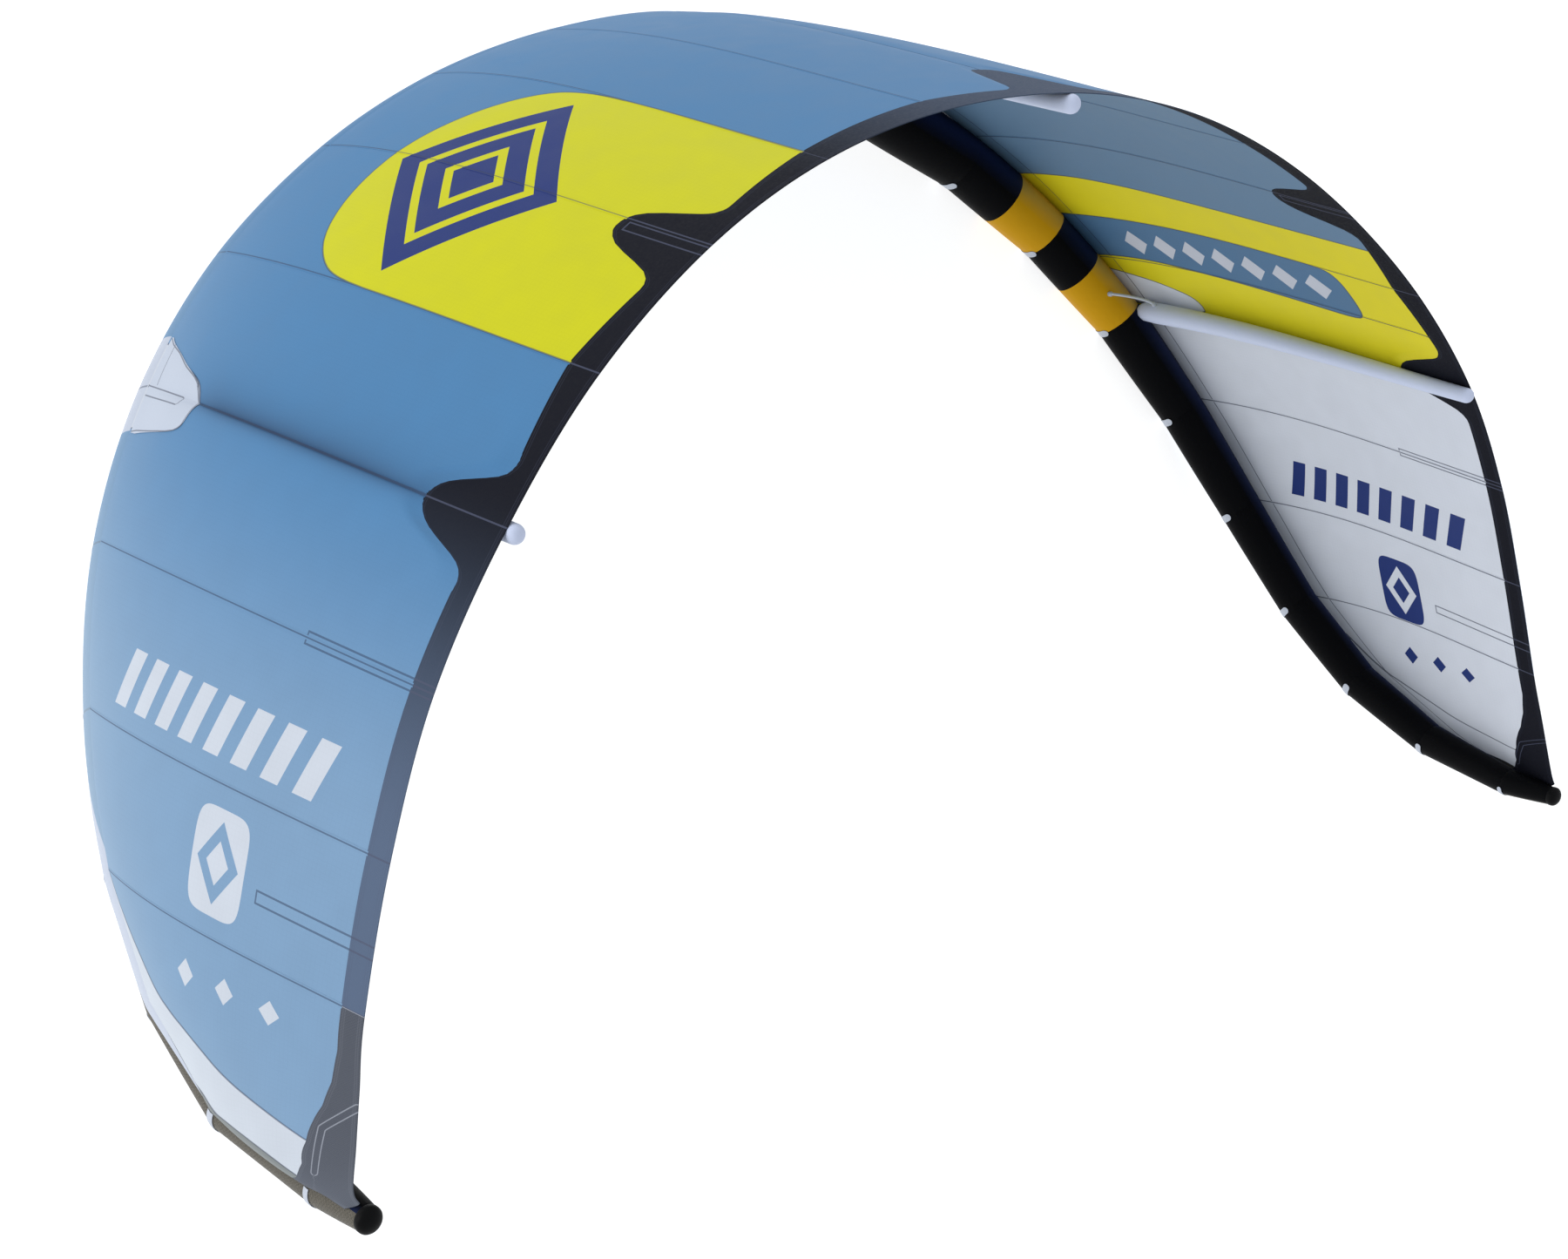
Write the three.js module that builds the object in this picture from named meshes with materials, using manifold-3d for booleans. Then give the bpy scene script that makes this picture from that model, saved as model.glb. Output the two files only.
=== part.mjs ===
// An inflatable kite for kitesurfing: a leading edge tube in straight lengths, three struts, a canopy
// of cloth panels sewn between them, and a trailing edge bound in heavier cloth.
// Millimetres. Every piece is laid out with the kite as it flies, X along the span, Y towards the
// leading edge and Z up. The whole kite is then turned about X and lies on its leading edge, as it
// does on a beach, with the trailing edge up.
import * as THREE from "three";
import { mergeVertices } from "three/addons/utils/BufferGeometryUtils.js";
import Module from "manifold-3d";

const wasm = await Module();
wasm.setup();

// Cloth and clearances
const clothThickness = 2;
const seamGap = 0.3;
const sewnGap = 0.3;

// One row for each joint of the leading edge tube, from the middle of the kite to one wingtip.
// x, y, z is the tube's centre and tube its radius. backX, backY, backZ is the point of the
// trailing edge that the seam from that joint runs to. The other half is its mirror image, and
// its joints are counted with a minus sign.
const joints = [
  { x: 0, y: 0, z: 64, tube: 99, backX: 0, backY: -1563, backZ: -32 },
  { x: 383, y: -3, z: 10, tube: 98, backX: 369, backY: -1555, backZ: -67 },
  { x: 735, y: -22, z: -99, tube: 95, backX: 710, backY: -1557, backZ: -167 },
  { x: 1062, y: -65, z: -264, tube: 90, backX: 1023, backY: -1576, backZ: -329 },
  { x: 1374, y: -137, z: -495, tube: 85, backX: 1318, backY: -1611, backZ: -559 },
  { x: 1628, y: -246, z: -771, tube: 79, backX: 1553, backY: -1646, backZ: -829 },
  { x: 1814, y: -387, z: -1078, tube: 73, backX: 1728, backY: -1661, backZ: -1121 },
  { x: 1932, y: -568, z: -1397, tube: 68, backX: 1843, backY: -1682, backZ: -1425 },
  { x: 1996, y: -783, z: -1689, tube: 63, backX: 1922, backY: -1709, backZ: -1703 },
  { x: 2021, y: -1029, z: -1900, tube: 59, backX: 1951, backY: -1733, backZ: -1838 },
  { x: 2023, y: -1312, z: -2028, tube: 52, backX: 1972, backY: -1751, backZ: -1940 },
  { x: 1981, y: -1630, z: -2073, tube: 41, backX: 1988, backY: -1765, backZ: -2016 },
  { x: 1971, y: -1781, z: -2072, tube: 27, backX: 1982, backY: -1783, backZ: -2042 },
];
const lastJoint = joints.length - 1;
const strutJoint = 5;
const tipJoint = 8;
const yellowPanels = [3, 4];
const tubeSides = 24;
const capLength = 24;
const capWall = 1.5;

// The canopy leaves the tube at sewAngle, turned from the side that faces the trailing edge towards
// the outside, and lower at the wingtip. Each seam is one curve from there to the trailing edge:
// frontRise and backRise are its slopes at the two ends, frontReach and backReach how far along the
// chord they act.
const sewAngle = THREE.MathUtils.degToRad(80);
const tipSewAngle = THREE.MathUtils.degToRad(38);
const sewTurn = { from: 10, to: 11.5 };
const frontRise = THREE.MathUtils.degToRad(2);
const backRise = THREE.MathUtils.degToRad(5);
const frontReach = 0.33;
const backReach = 0.4;

// Between two struts the wind fills the cloth outwards. crown is how far, at the widest chord.
const bays = [
  { from: 0, to: strutJoint, crown: 17 },
  { from: strutJoint, to: lastJoint, crown: 35 },
];
const fullChord = 1200;

// The edge between the canopy panels and the trailing edge binding. station counts joints from the
// middle, share runs from 0 at the tube to 1 at the trailing edge. The binding is deeper at the
// middle, at joint 3 and at the side strut, and from joint 8 it widens into the wingtip.
const bindingEdge = [
  { station: 0, share: 0.825 },
  { station: 0.12, share: 0.83 },
  { station: 0.3, share: 0.955 },
  { station: 0.38, share: 0.965 },
  { station: 1, share: 0.949 },
  { station: 2, share: 0.955 },
  { station: 2.7, share: 0.967 },
  { station: 2.78, share: 0.955 },
  { station: 2.92, share: 0.862 },
  { station: 3, share: 0.84 },
  { station: 3.11, share: 0.838 },
  { station: 3.2, share: 0.86 },
  { station: 3.32, share: 0.95 },
  { station: 3.4, share: 0.964 },
  { station: 4, share: 0.946 },
  { station: 4.65, share: 0.964 },
  { station: 4.74, share: 0.952 },
  { station: 4.88, share: 0.858 },
  { station: 4.96, share: 0.838 },
  { station: 5.07, share: 0.838 },
  { station: 5.15, share: 0.862 },
  { station: 5.28, share: 0.948 },
  { station: 5.36, share: 0.962 },
  { station: 6, share: 0.958 },
  { station: 7, share: 0.951 },
  { station: 8, share: 0.941 },
  { station: 8.5, share: 0.934 },
  { station: 9, share: 0.908 },
  { station: 9.4, share: 0.862 },
  { station: 9.7, share: 0.8 },
  { station: 10.05, share: 0.72 },
  { station: 10.43, share: 0.57 },
  { station: 10.58, share: 0.44 },
  { station: 10.69, share: 0.32 },
  { station: 10.76, share: 0.21 },
  { station: 10.81, share: 0.11 },
  { station: 10.84, share: 0.05 },
  { station: 10.85, share: 0 },
];
const canopyTip = 10.84;
const bindingTip = 11.45;
const bindingJoins = [2, 4, tipJoint];

// Struts: straight tubes under a seam, round at the back, shaped to the tube at the front.
const centreStrut = { station: 0, front: 40, back: 23 };
const sideStrut = { station: strutJoint, front: 35, back: 21 };
const strutSides = 16;

// The white cloth patch over each side strut's front end: its outline on the canopy's outside.
const patchThickness = 1;
const patchGap = 0.7;
const patchEdge = [
  { station: 4.7, share: 0.03 },
  { station: 4.74, share: 0.07 },
  { station: 4.81, share: 0.12 },
  { station: 4.88, share: 0.18 },
  { station: 4.96, share: 0.197 },
  { station: 5, share: 0.198 },
  { station: 5.07, share: 0.195 },
  { station: 5.15, share: 0.175 },
  { station: 5.21, share: 0.1 },
  { station: 5.28, share: 0.03 },
];
const patchFront = 0.01;

// The hose that fills each side strut: from the tube, on the strut's side towards the middle.
// bow is how far it runs straight out of each end, as a share of the way between them.
const hose = { station: 4.72, tubeAngle: -5, share: 0.1, bow: 0.2, radius: 4.5, fitting: 8, fittingLength: 10 };
const hoseSides = 12;

// How the kite lies: nose down by lean, then moved so that the origin is on the ground below the
// middle of the whole kite. ground is the flat spot pressed into the tube.
const lean = THREE.MathUtils.degToRad(67.3);
const moveY = 1235.9;
const moveZ = 148.1;

const colours = {
  blue: { color: 0x5a8fc0, roughness: 0.75, metalness: 0 },
  yellow: { color: 0xd4d42c, roughness: 0.75, metalness: 0 },
  tube: { color: 0x4f86ba, roughness: 0.7, metalness: 0 },
  binding: { color: 0x2a2c38, roughness: 0.85, metalness: 0 },
  white: { color: 0xd7dce8, roughness: 0.6, metalness: 0 },
  olive: { color: 0x3a382f, roughness: 0.8, metalness: 0 },
  black: { color: 0x191a1f, roughness: 0.5, metalness: 0 },
};

const lerp = THREE.MathUtils.lerp;
const clamp = THREE.MathUtils.clamp;

// The table's rows as numbers, with one mirrored row before the middle and two past the tip.
const columns = ["x", "y", "z", "tube", "backX", "backY", "backZ"];
const mirroredColumns = ["x", "backX"];
const rows = joints.map((joint) => columns.map((column) => joint[column]));
const mirroredRow = columns.map((column, i) => (mirroredColumns.includes(column) ? -1 : 1) * rows[1][i]);
const pastTip = (steps) => rows[lastJoint].map((v, i) => v + steps * (v - rows[lastJoint - 1][i]));
const paddedRows = [mirroredRow, ...rows, pastTip(1), pastTip(2)];

function splitStation(station) {
  const joint = clamp(Math.floor(station), 0, lastJoint - 1);
  return [joint, station - joint];
}

// The table read between two joints: straight for the tube, on a smooth curve for the cloth.
function straightRow(station) {
  const [joint, part] = splitStation(station);
  return rows[joint].map((v, i) => lerp(v, rows[joint + 1][i], part));
}

function smoothRow(station) {
  const [joint, t] = splitStation(station);
  const [before, start, end, after] = paddedRows.slice(joint, joint + 4);
  return start.map((v, i) => {
    const slope = end[i] - before[i];
    const bend = 2 * before[i] - 5 * v + 4 * end[i] - after[i];
    const twist = 3 * v - before[i] - 3 * end[i] + after[i];
    return 0.5 * (2 * v + slope * t + bend * t * t + twist * t * t * t);
  });
}

// The share of the chord at which the binding starts.
function bindingShare(station) {
  const at = Math.abs(station);
  const next = bindingEdge.findIndex((row) => row.station >= at);
  if (next < 0) return 0;
  if (next === 0) return bindingEdge[0].share;
  const [near, far] = [bindingEdge[next - 1], bindingEdge[next]];
  return lerp(near.share, far.share, (at - near.station) / (far.station - near.station));
}

const tubePoint = (row) => new THREE.Vector3(row[0], row[1], row[2]);
const backPoint = (row) => new THREE.Vector3(row[4], row[5], row[6]);

// Directions at a station: along the span to the right, across it to the trailing edge, outwards.
function directions(station) {
  const step = 0.02;
  const at = Math.abs(station);
  const ahead = tubePoint(smoothRow(Math.min(at + step, lastJoint)));
  const behind = tubePoint(smoothRow(Math.abs(at - step)));
  if (at < step) behind.x *= -1;
  const along = ahead.sub(behind).normalize();
  const row = smoothRow(at);
  const across = backPoint(row).sub(tubePoint(row));
  across.addScaledVector(along, -across.dot(along)).normalize();
  const outward = new THREE.Vector3().crossVectors(across, along);
  if (station < 0) {
    along.set(along.x, -along.y, -along.z);
    across.x *= -1;
    outward.x *= -1;
  }
  return { along, across, outward };
}

function sewAngleAt(station) {
  return lerp(sewAngle, tipSewAngle, THREE.MathUtils.smoothstep(station, sewTurn.from, sewTurn.to));
}

// A point midway through the canopy's cloth: share runs from 0 at the tube to 1 at the trailing edge.
function clothPoint(station, share) {
  const at = Math.abs(station);
  const { across, outward } = directions(at);
  const straight = straightRow(at);
  const smooth = smoothRow(at);
  const toSmooth = THREE.MathUtils.smoothstep(share, 0, 0.3);
  const centre = tubePoint(straight).lerp(tubePoint(smooth), toSmooth);
  const back = backPoint(smooth);
  const sewn = straight[3] + sewnGap + clothThickness / 2;
  const angle = sewAngleAt(at);
  const front = centre
    .clone()
    .addScaledVector(across, sewn * Math.cos(angle))
    .addScaledVector(outward, sewn * Math.sin(angle));
  const chordLine = back.clone().sub(centre);
  const chord = chordLine.length();
  chordLine.normalize();
  const reach = front.distanceTo(back);
  const rise = front
    .clone()
    .addScaledVector(chordLine, frontReach * reach * Math.cos(frontRise))
    .addScaledVector(outward, frontReach * reach * Math.sin(frontRise));
  const fall = back
    .clone()
    .addScaledVector(chordLine, -backReach * reach * Math.cos(backRise))
    .addScaledVector(outward, backReach * reach * Math.sin(backRise));
  const point = new THREE.CubicBezierCurve3(front, rise, fall, back).getPoint(share);
  for (const { from, to, crown } of bays) {
    if (at <= from || at >= to) continue;
    const acrossBay = Math.sin((Math.PI * (at - from)) / (to - from));
    const alongChord = Math.sin(Math.PI * share ** 0.8);
    point.addScaledVector(outward, crown * Math.min(1, chord / fullChord) * acrossBay * alongChord);
  }
  if (station < 0) point.x *= -1;
  return point;
}

function chordDirection(station, share) {
  const step = 0.01;
  const ahead = clothPoint(station, Math.min(share + step, 1));
  return ahead.sub(clothPoint(station, Math.max(share - step, 0))).normalize();
}

function clothNormal(station, share) {
  const step = 0.02;
  const spanwise = clothPoint(station + step, share).sub(clothPoint(station - step, share));
  return chordDirection(station, share).cross(spanwise).normalize();
}

// A closed mesh from its corner points and its faces, each a list of corners seen from outside.
function closedMesh(points, faces) {
  const geometry = new THREE.BufferGeometry();
  const triangles = faces.flatMap((face) =>
    face.slice(2).flatMap((corner, i) => [face[0], face[i + 1], corner]),
  );
  geometry.setAttribute("position", new THREE.Float32BufferAttribute(points.flatMap((p) => p.toArray()), 3));
  geometry.setIndex(triangles);
  return geometry;
}

// A solid through rings with the same number of corners, counted anticlockwise seen from the last.
function loft(rings) {
  const sides = rings[0].length;
  const faces = [];
  for (let ring = 0; ring < rings.length - 1; ring++) {
    for (let side = 0; side < sides; side++) {
      const a = ring * sides + side;
      const b = ring * sides + ((side + 1) % sides);
      faces.push([a, b, b + sides, a + sides]);
    }
  }
  const firstRing = [...Array(sides).keys()];
  faces.push([...firstRing].reverse());
  faces.push(firstRing.map((corner) => corner + (rings.length - 1) * sides));
  return closedMesh(rings.flat(), faces);
}

function toSolid(geometry) {
  const bare = geometry.clone();
  bare.deleteAttribute("normal");
  bare.deleteAttribute("uv");
  const merged = mergeVertices(bare, 1e-3);
  const vertProperties = new Float32Array(merged.attributes.position.array);
  const triVerts = new Uint32Array(merged.index.array);
  return new wasm.Manifold(new wasm.Mesh({ numProp: 3, vertProperties, triVerts }));
}

function toGeometry(solid) {
  const { vertProperties, triVerts } = solid.getMesh();
  const geometry = new THREE.BufferGeometry();
  geometry.setAttribute("position", new THREE.BufferAttribute(new Float32Array(vertProperties), 3));
  geometry.setIndex([...triVerts]);
  return geometry;
}

// The ring of the leading edge tube at a joint, on the plane that its two lengths share.
function tubeRing(joint, extraRadius, shift) {
  const { along, across, outward } = directions(joint);
  const row = straightRow(Math.abs(joint));
  const centre = tubePoint(row);
  if (joint < 0) centre.x *= -1;
  centre.addScaledVector(along, shift);
  return Array.from({ length: tubeSides }, (_, side) => {
    const angle = sewAngle - (side * 2 * Math.PI) / tubeSides;
    return centre
      .clone()
      .addScaledVector(across, (row[3] + extraRadius) * Math.cos(angle))
      .addScaledVector(outward, (row[3] + extraRadius) * Math.sin(angle));
  });
}

// The tube is full of air, so its lengths are solid. The ground presses them flat where they lie.
function tubeLength(from, to) {
  const whole = toSolid(loft([tubeRing(from, 0, seamGap / 2), tubeRing(to, 0, -seamGap / 2)]));
  const ground = [0, -Math.sin(lean), Math.cos(lean)];
  return toGeometry(whole.trimByPlane(ground, -moveZ));
}

// The black cap over the end of the tube: a short sleeve and a dome.
function tubeCap() {
  const profile = [
    { past: seamGap, shrink: 0 },
    { past: 0.45 * capLength, shrink: 0 },
    { past: 0.7 * capLength, shrink: 0.12 },
    { past: 0.9 * capLength, shrink: 0.4 },
    { past: capLength, shrink: 0.75 },
  ];
  const radius = rows[lastJoint][3] + capWall;
  return loft(profile.map(({ past, shrink }) => tubeRing(lastJoint, capWall - shrink * radius, past)));
}

// A piece of cloth. front and back give its edges as shares of the chord at a station, and
// seams names the edges that stand back from a neighbour by half a gap.
function clothPiece({ stations, rows: rowShares, front, back, seams, thickness = clothThickness, lift = 0 }) {
  const shareAt = (station, part) => lerp(front(station), back(station), part);
  const edgeInset = (station, i, part) => {
    const before = stations[Math.max(i - 1, 0)];
    const after = stations[Math.min(i + 1, stations.length - 1)];
    const run = clothPoint(after, shareAt(after, part)).sub(clothPoint(before, shareAt(before, part)));
    return run.normalize().cross(clothNormal(station, shareAt(station, part))).multiplyScalar(seamGap / 2);
  };
  const outer = [];
  const inner = [];
  stations.forEach((station, i) => {
    rowShares.forEach((part) => {
      const share = shareAt(station, part);
      const normal = clothNormal(station, share);
      const middle = clothPoint(station, share).addScaledVector(normal, lift);
      if (part === 0 && seams.includes("front")) middle.add(edgeInset(station, i, part));
      if (part === 1 && seams.includes("back")) middle.sub(edgeInset(station, i, part));
      const toRight = directions(station).along;
      if (i === 0 && seams.includes("left")) middle.addScaledVector(toRight, seamGap / 2);
      if (i === stations.length - 1 && seams.includes("right")) middle.addScaledVector(toRight, -seamGap / 2);
      outer.push(middle.clone().addScaledVector(normal, thickness / 2));
      inner.push(middle.clone().addScaledVector(normal, -thickness / 2));
    });
  });
  const deep = rowShares.length;
  const wide = stations.length;
  const under = wide * deep;
  const faces = [];
  for (let i = 0; i < wide - 1; i++) {
    for (let j = 0; j < deep - 1; j++) {
      const a = i * deep + j;
      faces.push([a, a + 1, a + deep + 1, a + deep]);
      faces.push([under + a, under + a + deep, under + a + deep + 1, under + a + 1]);
    }
  }
  const left = Array.from({ length: deep }, (_, j) => j);
  const backEdge = Array.from({ length: wide - 1 }, (_, i) => (i + 2) * deep - 1);
  const right = Array.from({ length: deep - 1 }, (_, j) => wide * deep - 2 - j);
  const frontEdge = Array.from({ length: wide - 2 }, (_, i) => (wide - 2 - i) * deep);
  const rim = [...left, ...backEdge, ...right, ...frontEdge];
  rim.forEach((corner, i) => {
    const next = rim[(i + 1) % rim.length];
    faces.push([next, corner, under + corner, under + next]);
  });
  return closedMesh([...outer, ...inner], faces);
}

// The stations of a piece's columns: evenly spaced, and at every corner of the binding's edge.
function columnStations(from, to) {
  const even = Array.from({ length: Math.round((to - from) * 4) + 1 }, (_, i) => from + i / 4);
  const corners = bindingEdge.flatMap((row) => [row.station, -row.station]);
  const inside = [...even, ...corners].filter((station) => station > from && station < to);
  const sorted = [from, ...inside.sort((a, b) => a - b), to];
  const isCorner = (station) => corners.includes(station) || Number.isInteger(station);
  const near = 0.04;
  return sorted.filter((station, i) => {
    if (i === 0 || i === sorted.length - 1) return true;
    if (sorted[i - 1] === station) return false;
    if (isCorner(station)) return true;
    return station - sorted[i - 1] > near && sorted[i + 1] - station > near;
  });
}

const panelRows = Array.from({ length: 13 }, (_, j) => (j / 12) ** 1.25);
const bindingRows = [0, 0.5, 1];
const atTube = () => 0;
const atBack = () => 1;

// A strut lies along the inside of a seam. Its rings stand where the cloth's rows do.
function strutSolid({ station, front, back }) {
  const edge = bindingShare(station);
  const seamRows = panelRows.slice(2).map((part) => part * edge);
  const bindingPart = bindingRows.slice(1).map((part) => lerp(edge, 1, part));
  const nose = [
    { part: 0, fullness: 0.45 },
    { part: 0.12, fullness: 0.75 },
    { part: 0.4, fullness: 0.95 },
  ];
  const tail = [20, 40, 60, 80].map((degrees) => THREE.MathUtils.degToRad(degrees));
  const ring = (share, fullness, beyond) => {
    const normal = clothNormal(station, share);
    const chordwise = chordDirection(station, share);
    const sideways = new THREE.Vector3().crossVectors(chordwise, normal);
    const radius = lerp(front, back, share);
    const depth = clothThickness / 2 + sewnGap + radius;
    const centre = clothPoint(station, share)
      .addScaledVector(normal, -depth)
      .addScaledVector(chordwise, beyond * radius);
    return Array.from({ length: strutSides }, (_, side) => {
      const angle = Math.PI / 2 - (side * 2 * Math.PI) / strutSides;
      return centre
        .clone()
        .addScaledVector(sideways, radius * fullness * Math.cos(angle))
        .addScaledVector(normal, radius * fullness * Math.sin(angle));
    });
  };
  const first = panelRows[1] * edge;
  const rings = [
    ...nose.map(({ part, fullness }) => ring(lerp(first, seamRows[0], part), fullness, 0)),
    ...[...seamRows, ...bindingPart].map((share) => ring(share, 1, 0)),
    ...tail.map((angle) => ring(1, Math.cos(angle), Math.sin(angle))),
  ];
  const tubeThere = [-1, 0, 1].map((step) => tubeRing(station + step, sewnGap, 0));
  return toGeometry(toSolid(loft(rings)).subtract(toSolid(loft(tubeThere))));
}

// The filling hose of a side strut, with a round fitting at each end.
function hoseSolid() {
  const { across, outward } = directions(hose.station);
  const tubeAngle = THREE.MathUtils.degToRad(hose.tubeAngle);
  const row = straightRow(hose.station);
  const fromTube = across.multiplyScalar(Math.cos(tubeAngle)).addScaledVector(outward, Math.sin(tubeAngle));
  const start = tubePoint(row).addScaledVector(fromTube, row[3] + sewnGap);
  const normal = clothNormal(strutJoint, hose.share);
  const chordwise = chordDirection(strutJoint, hose.share);
  const toMiddle = new THREE.Vector3().crossVectors(chordwise, normal);
  const radius = lerp(sideStrut.front, sideStrut.back, hose.share);
  const end = clothPoint(strutJoint, hose.share)
    .addScaledVector(normal, -(clothThickness / 2 + sewnGap + radius))
    .addScaledVector(toMiddle, radius + sewnGap);
  const reach = hose.bow * start.distanceTo(end);
  const leaving = start.clone().addScaledVector(fromTube, reach);
  const arriving = end.clone().addScaledVector(toMiddle, reach);
  const curve = new THREE.CubicBezierCurve3(start, leaving, arriving, end);
  const length = curve.getLength();
  const step = 0.5;
  const bends = Array.from({ length: 9 }, (_, i) => lerp(hose.fittingLength + step, length / 2, i / 9));
  const half = [
    { at: 0, radius: hose.fitting },
    { at: hose.fittingLength, radius: hose.fitting },
    ...bends.map((at) => ({ at, radius: hose.radius })),
  ];
  const otherHalf = half.map(({ at, radius: r }) => ({ at: length - at, radius: r })).reverse();
  const profile = [...half, { at: length / 2, radius: hose.radius }, ...otherHalf];
  const upright = normal.clone();
  const rings = profile.map(({ at, radius: r }) => {
    const centre = curve.getPointAt(at / length);
    const tangent = curve.getTangentAt(at / length);
    const first = new THREE.Vector3().crossVectors(tangent, upright).normalize();
    const second = new THREE.Vector3().crossVectors(tangent, first);
    return Array.from({ length: hoseSides }, (_, i) => {
      const angle = (i * 2 * Math.PI) / hoseSides;
      return centre
        .clone()
        .addScaledVector(first, r * Math.cos(angle))
        .addScaledVector(second, r * Math.sin(angle));
    });
  });
  return loft(rings);
}

function patchPiece() {
  return clothPiece({
    stations: patchEdge.map(({ station }) => station),
    rows: [0, 0.25, 0.5, 0.75, 1],
    front: () => patchFront,
    back: (station) => patchEdge.find((row) => row.station === station).share,
    seams: [],
    thickness: patchThickness,
    lift: (clothThickness + patchThickness) / 2 + patchGap,
  });
}

const flying = new THREE.Group();

function add(name, geometry, colour) {
  geometry.computeVertexNormals();
  const mesh = new THREE.Mesh(geometry, new THREE.MeshStandardMaterial(colours[colour]));
  mesh.name = name;
  flying.add(mesh);
}

// A piece of the right half and its mirror image: reflecting it turns its triangles round.
function addPair(kind, number, geometry, colour) {
  const ending = number === undefined ? "" : `_${number}`;
  const reflected = geometry.clone().scale(-1, 1, 1);
  const corners = [...reflected.index.array];
  reflected.setIndex(corners.map((_, i) => corners[i - (i % 3) + [0, 2, 1][i % 3]]));
  add(`${kind}_right${ending}`, geometry, colour);
  add(`${kind}_left${ending}`, reflected, colour);
}

function addPanel(name, near, far, seams, colour) {
  const stations = columnStations(near, far);
  const piece = { stations, rows: panelRows, front: atTube, back: bindingShare, seams };
  addPair("panel", name, clothPiece(piece), colour);
}

for (let joint = 1; joint <= lastJoint; joint++) {
  addPair("tube", joint, tubeLength(joint - 1, joint), joint > tipJoint ? "olive" : "tube");
}
addPair("cap", undefined, tubeCap(), "black");
for (let joint = 1; joint <= tipJoint; joint++) {
  addPanel(joint, joint - 1, joint, ["left", "right", "back"], yellowPanels.includes(joint) ? "yellow" : "blue");
}
addPanel("tip", tipJoint, canopyTip, ["left", "right", "back"], "blue");

function bindingPiece(near, far, seams) {
  const reachesTip = far === bindingTip;
  const stations = columnStations(near, far);
  const rows = reachesTip ? panelRows : bindingRows;
  return clothPiece({ stations, rows, front: bindingShare, back: atBack, seams });
}

const bindingEnds = [...bindingJoins, bindingTip];
bindingJoins.forEach((near, i) => {
  const far = bindingEnds[i + 1];
  const seams = far === bindingTip ? ["front", "left"] : ["front", "left", "right"];
  addPair("binding", i + 1, bindingPiece(near, far, seams), "binding");
});
add("binding_centre", bindingPiece(-bindingJoins[0], bindingJoins[0], ["front", "left", "right"]), "binding");

add("strut_centre", strutSolid(centreStrut), "white");
addPair("strut", undefined, strutSolid(sideStrut), "white");
addPair("patch", undefined, patchPiece(), "white");
addPair("hose", undefined, hoseSolid(), "white");

const kite = new THREE.Group();
flying.rotation.x = -lean;
flying.position.set(0, moveY, moveZ);
kite.add(flying);

export default kite;
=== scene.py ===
"""An inflatable kite for kitesurfing, lying nose down on its leading edge with the trailing edge up."""
import math
from functools import partial, reduce
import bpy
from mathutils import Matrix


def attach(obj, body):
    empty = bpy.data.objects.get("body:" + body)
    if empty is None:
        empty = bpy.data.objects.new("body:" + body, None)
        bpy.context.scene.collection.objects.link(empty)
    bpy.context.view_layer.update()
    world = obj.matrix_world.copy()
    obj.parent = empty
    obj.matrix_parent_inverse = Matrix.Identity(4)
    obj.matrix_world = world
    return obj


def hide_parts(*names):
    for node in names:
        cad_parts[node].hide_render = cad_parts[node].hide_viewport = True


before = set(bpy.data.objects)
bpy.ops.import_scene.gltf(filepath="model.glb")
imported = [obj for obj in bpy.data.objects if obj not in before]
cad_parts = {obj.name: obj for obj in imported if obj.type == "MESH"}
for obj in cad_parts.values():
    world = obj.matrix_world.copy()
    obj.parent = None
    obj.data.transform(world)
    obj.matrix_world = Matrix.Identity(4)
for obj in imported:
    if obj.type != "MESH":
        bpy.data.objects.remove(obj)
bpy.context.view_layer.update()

from types import SimpleNamespace

import bmesh
import bpy
import numpy as np
from mathutils import Matrix, Vector


# Camera, floor and light.
# The photograph is taken from behind the left wing, a little above it. The kite lies turned nose down,
# so the camera turns with it. Plain pale floor, two large soft lights from the kite's left and upper side.
def placed(name, data):
    made = bpy.data.objects.new(name, data)
    bpy.context.collection.objects.link(made)
    return made


camera = placed("camera", bpy.data.cameras.new("camera"))
camera.data.sensor_fit = "HORIZONTAL"
camera.data.sensor_width = 36.0
camera.data.lens = 48.0
camera.data.clip_end = 200.0
to_right = Vector((0.7836, -0.2284, 0.5777))
to_top = Vector((0.1527, 0.9722, 0.1772))
turned = Matrix((to_right, to_top, to_right.cross(to_top))).transposed()
camera.matrix_world = Matrix.Translation((-3.547, -0.668, 4.756)) @ turned.to_4x4()
bpy.context.scene.camera = camera


def linear(code):
    """A colour such as #5A8FC0, as the linear colour that a shader takes."""
    parts = [int(code[i:i + 2], 16) / 255 for i in (1, 3, 5)]
    return [p / 12.92 if p <= 0.04045 else ((p + 0.055) / 1.055) ** 2.4 for p in parts] + [1.0]


def add_node(tree, kind, *values, **settings):
    """A shader node with its settings. Its kind ends in its operation, which alone means a Math node. Values
    go to its shown inputs in order, or to an input by name: a number, a node, a colour or an attribute."""
    kind, _, operation = ("Math " + kind if kind.isupper() else kind).partition(" ")
    made = tree.nodes.new("ShaderNode" + kind)
    if operation:
        made.operation = operation
    named = [(made.inputs[name], settings.pop(name)) for name in list(settings) if name in made.inputs]
    for name, value in settings.items():
        setattr(made, name, value)
    shown = [socket for socket in made.inputs if socket.enabled]
    for socket, value in [*named, *zip(shown, values)]:
        if isinstance(value, str):
            value = linear(value) if value[0] == "#" else add_node(tree, "Attribute", attribute_name=value)
        if isinstance(value, bpy.types.Node):
            value = value.outputs.get("Fac") or next(out for out in value.outputs if out.enabled)
        if isinstance(value, bpy.types.NodeSocket):
            tree.links.new(value, socket)
        elif value is not None:
            socket.default_value = value
    return made


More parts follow.
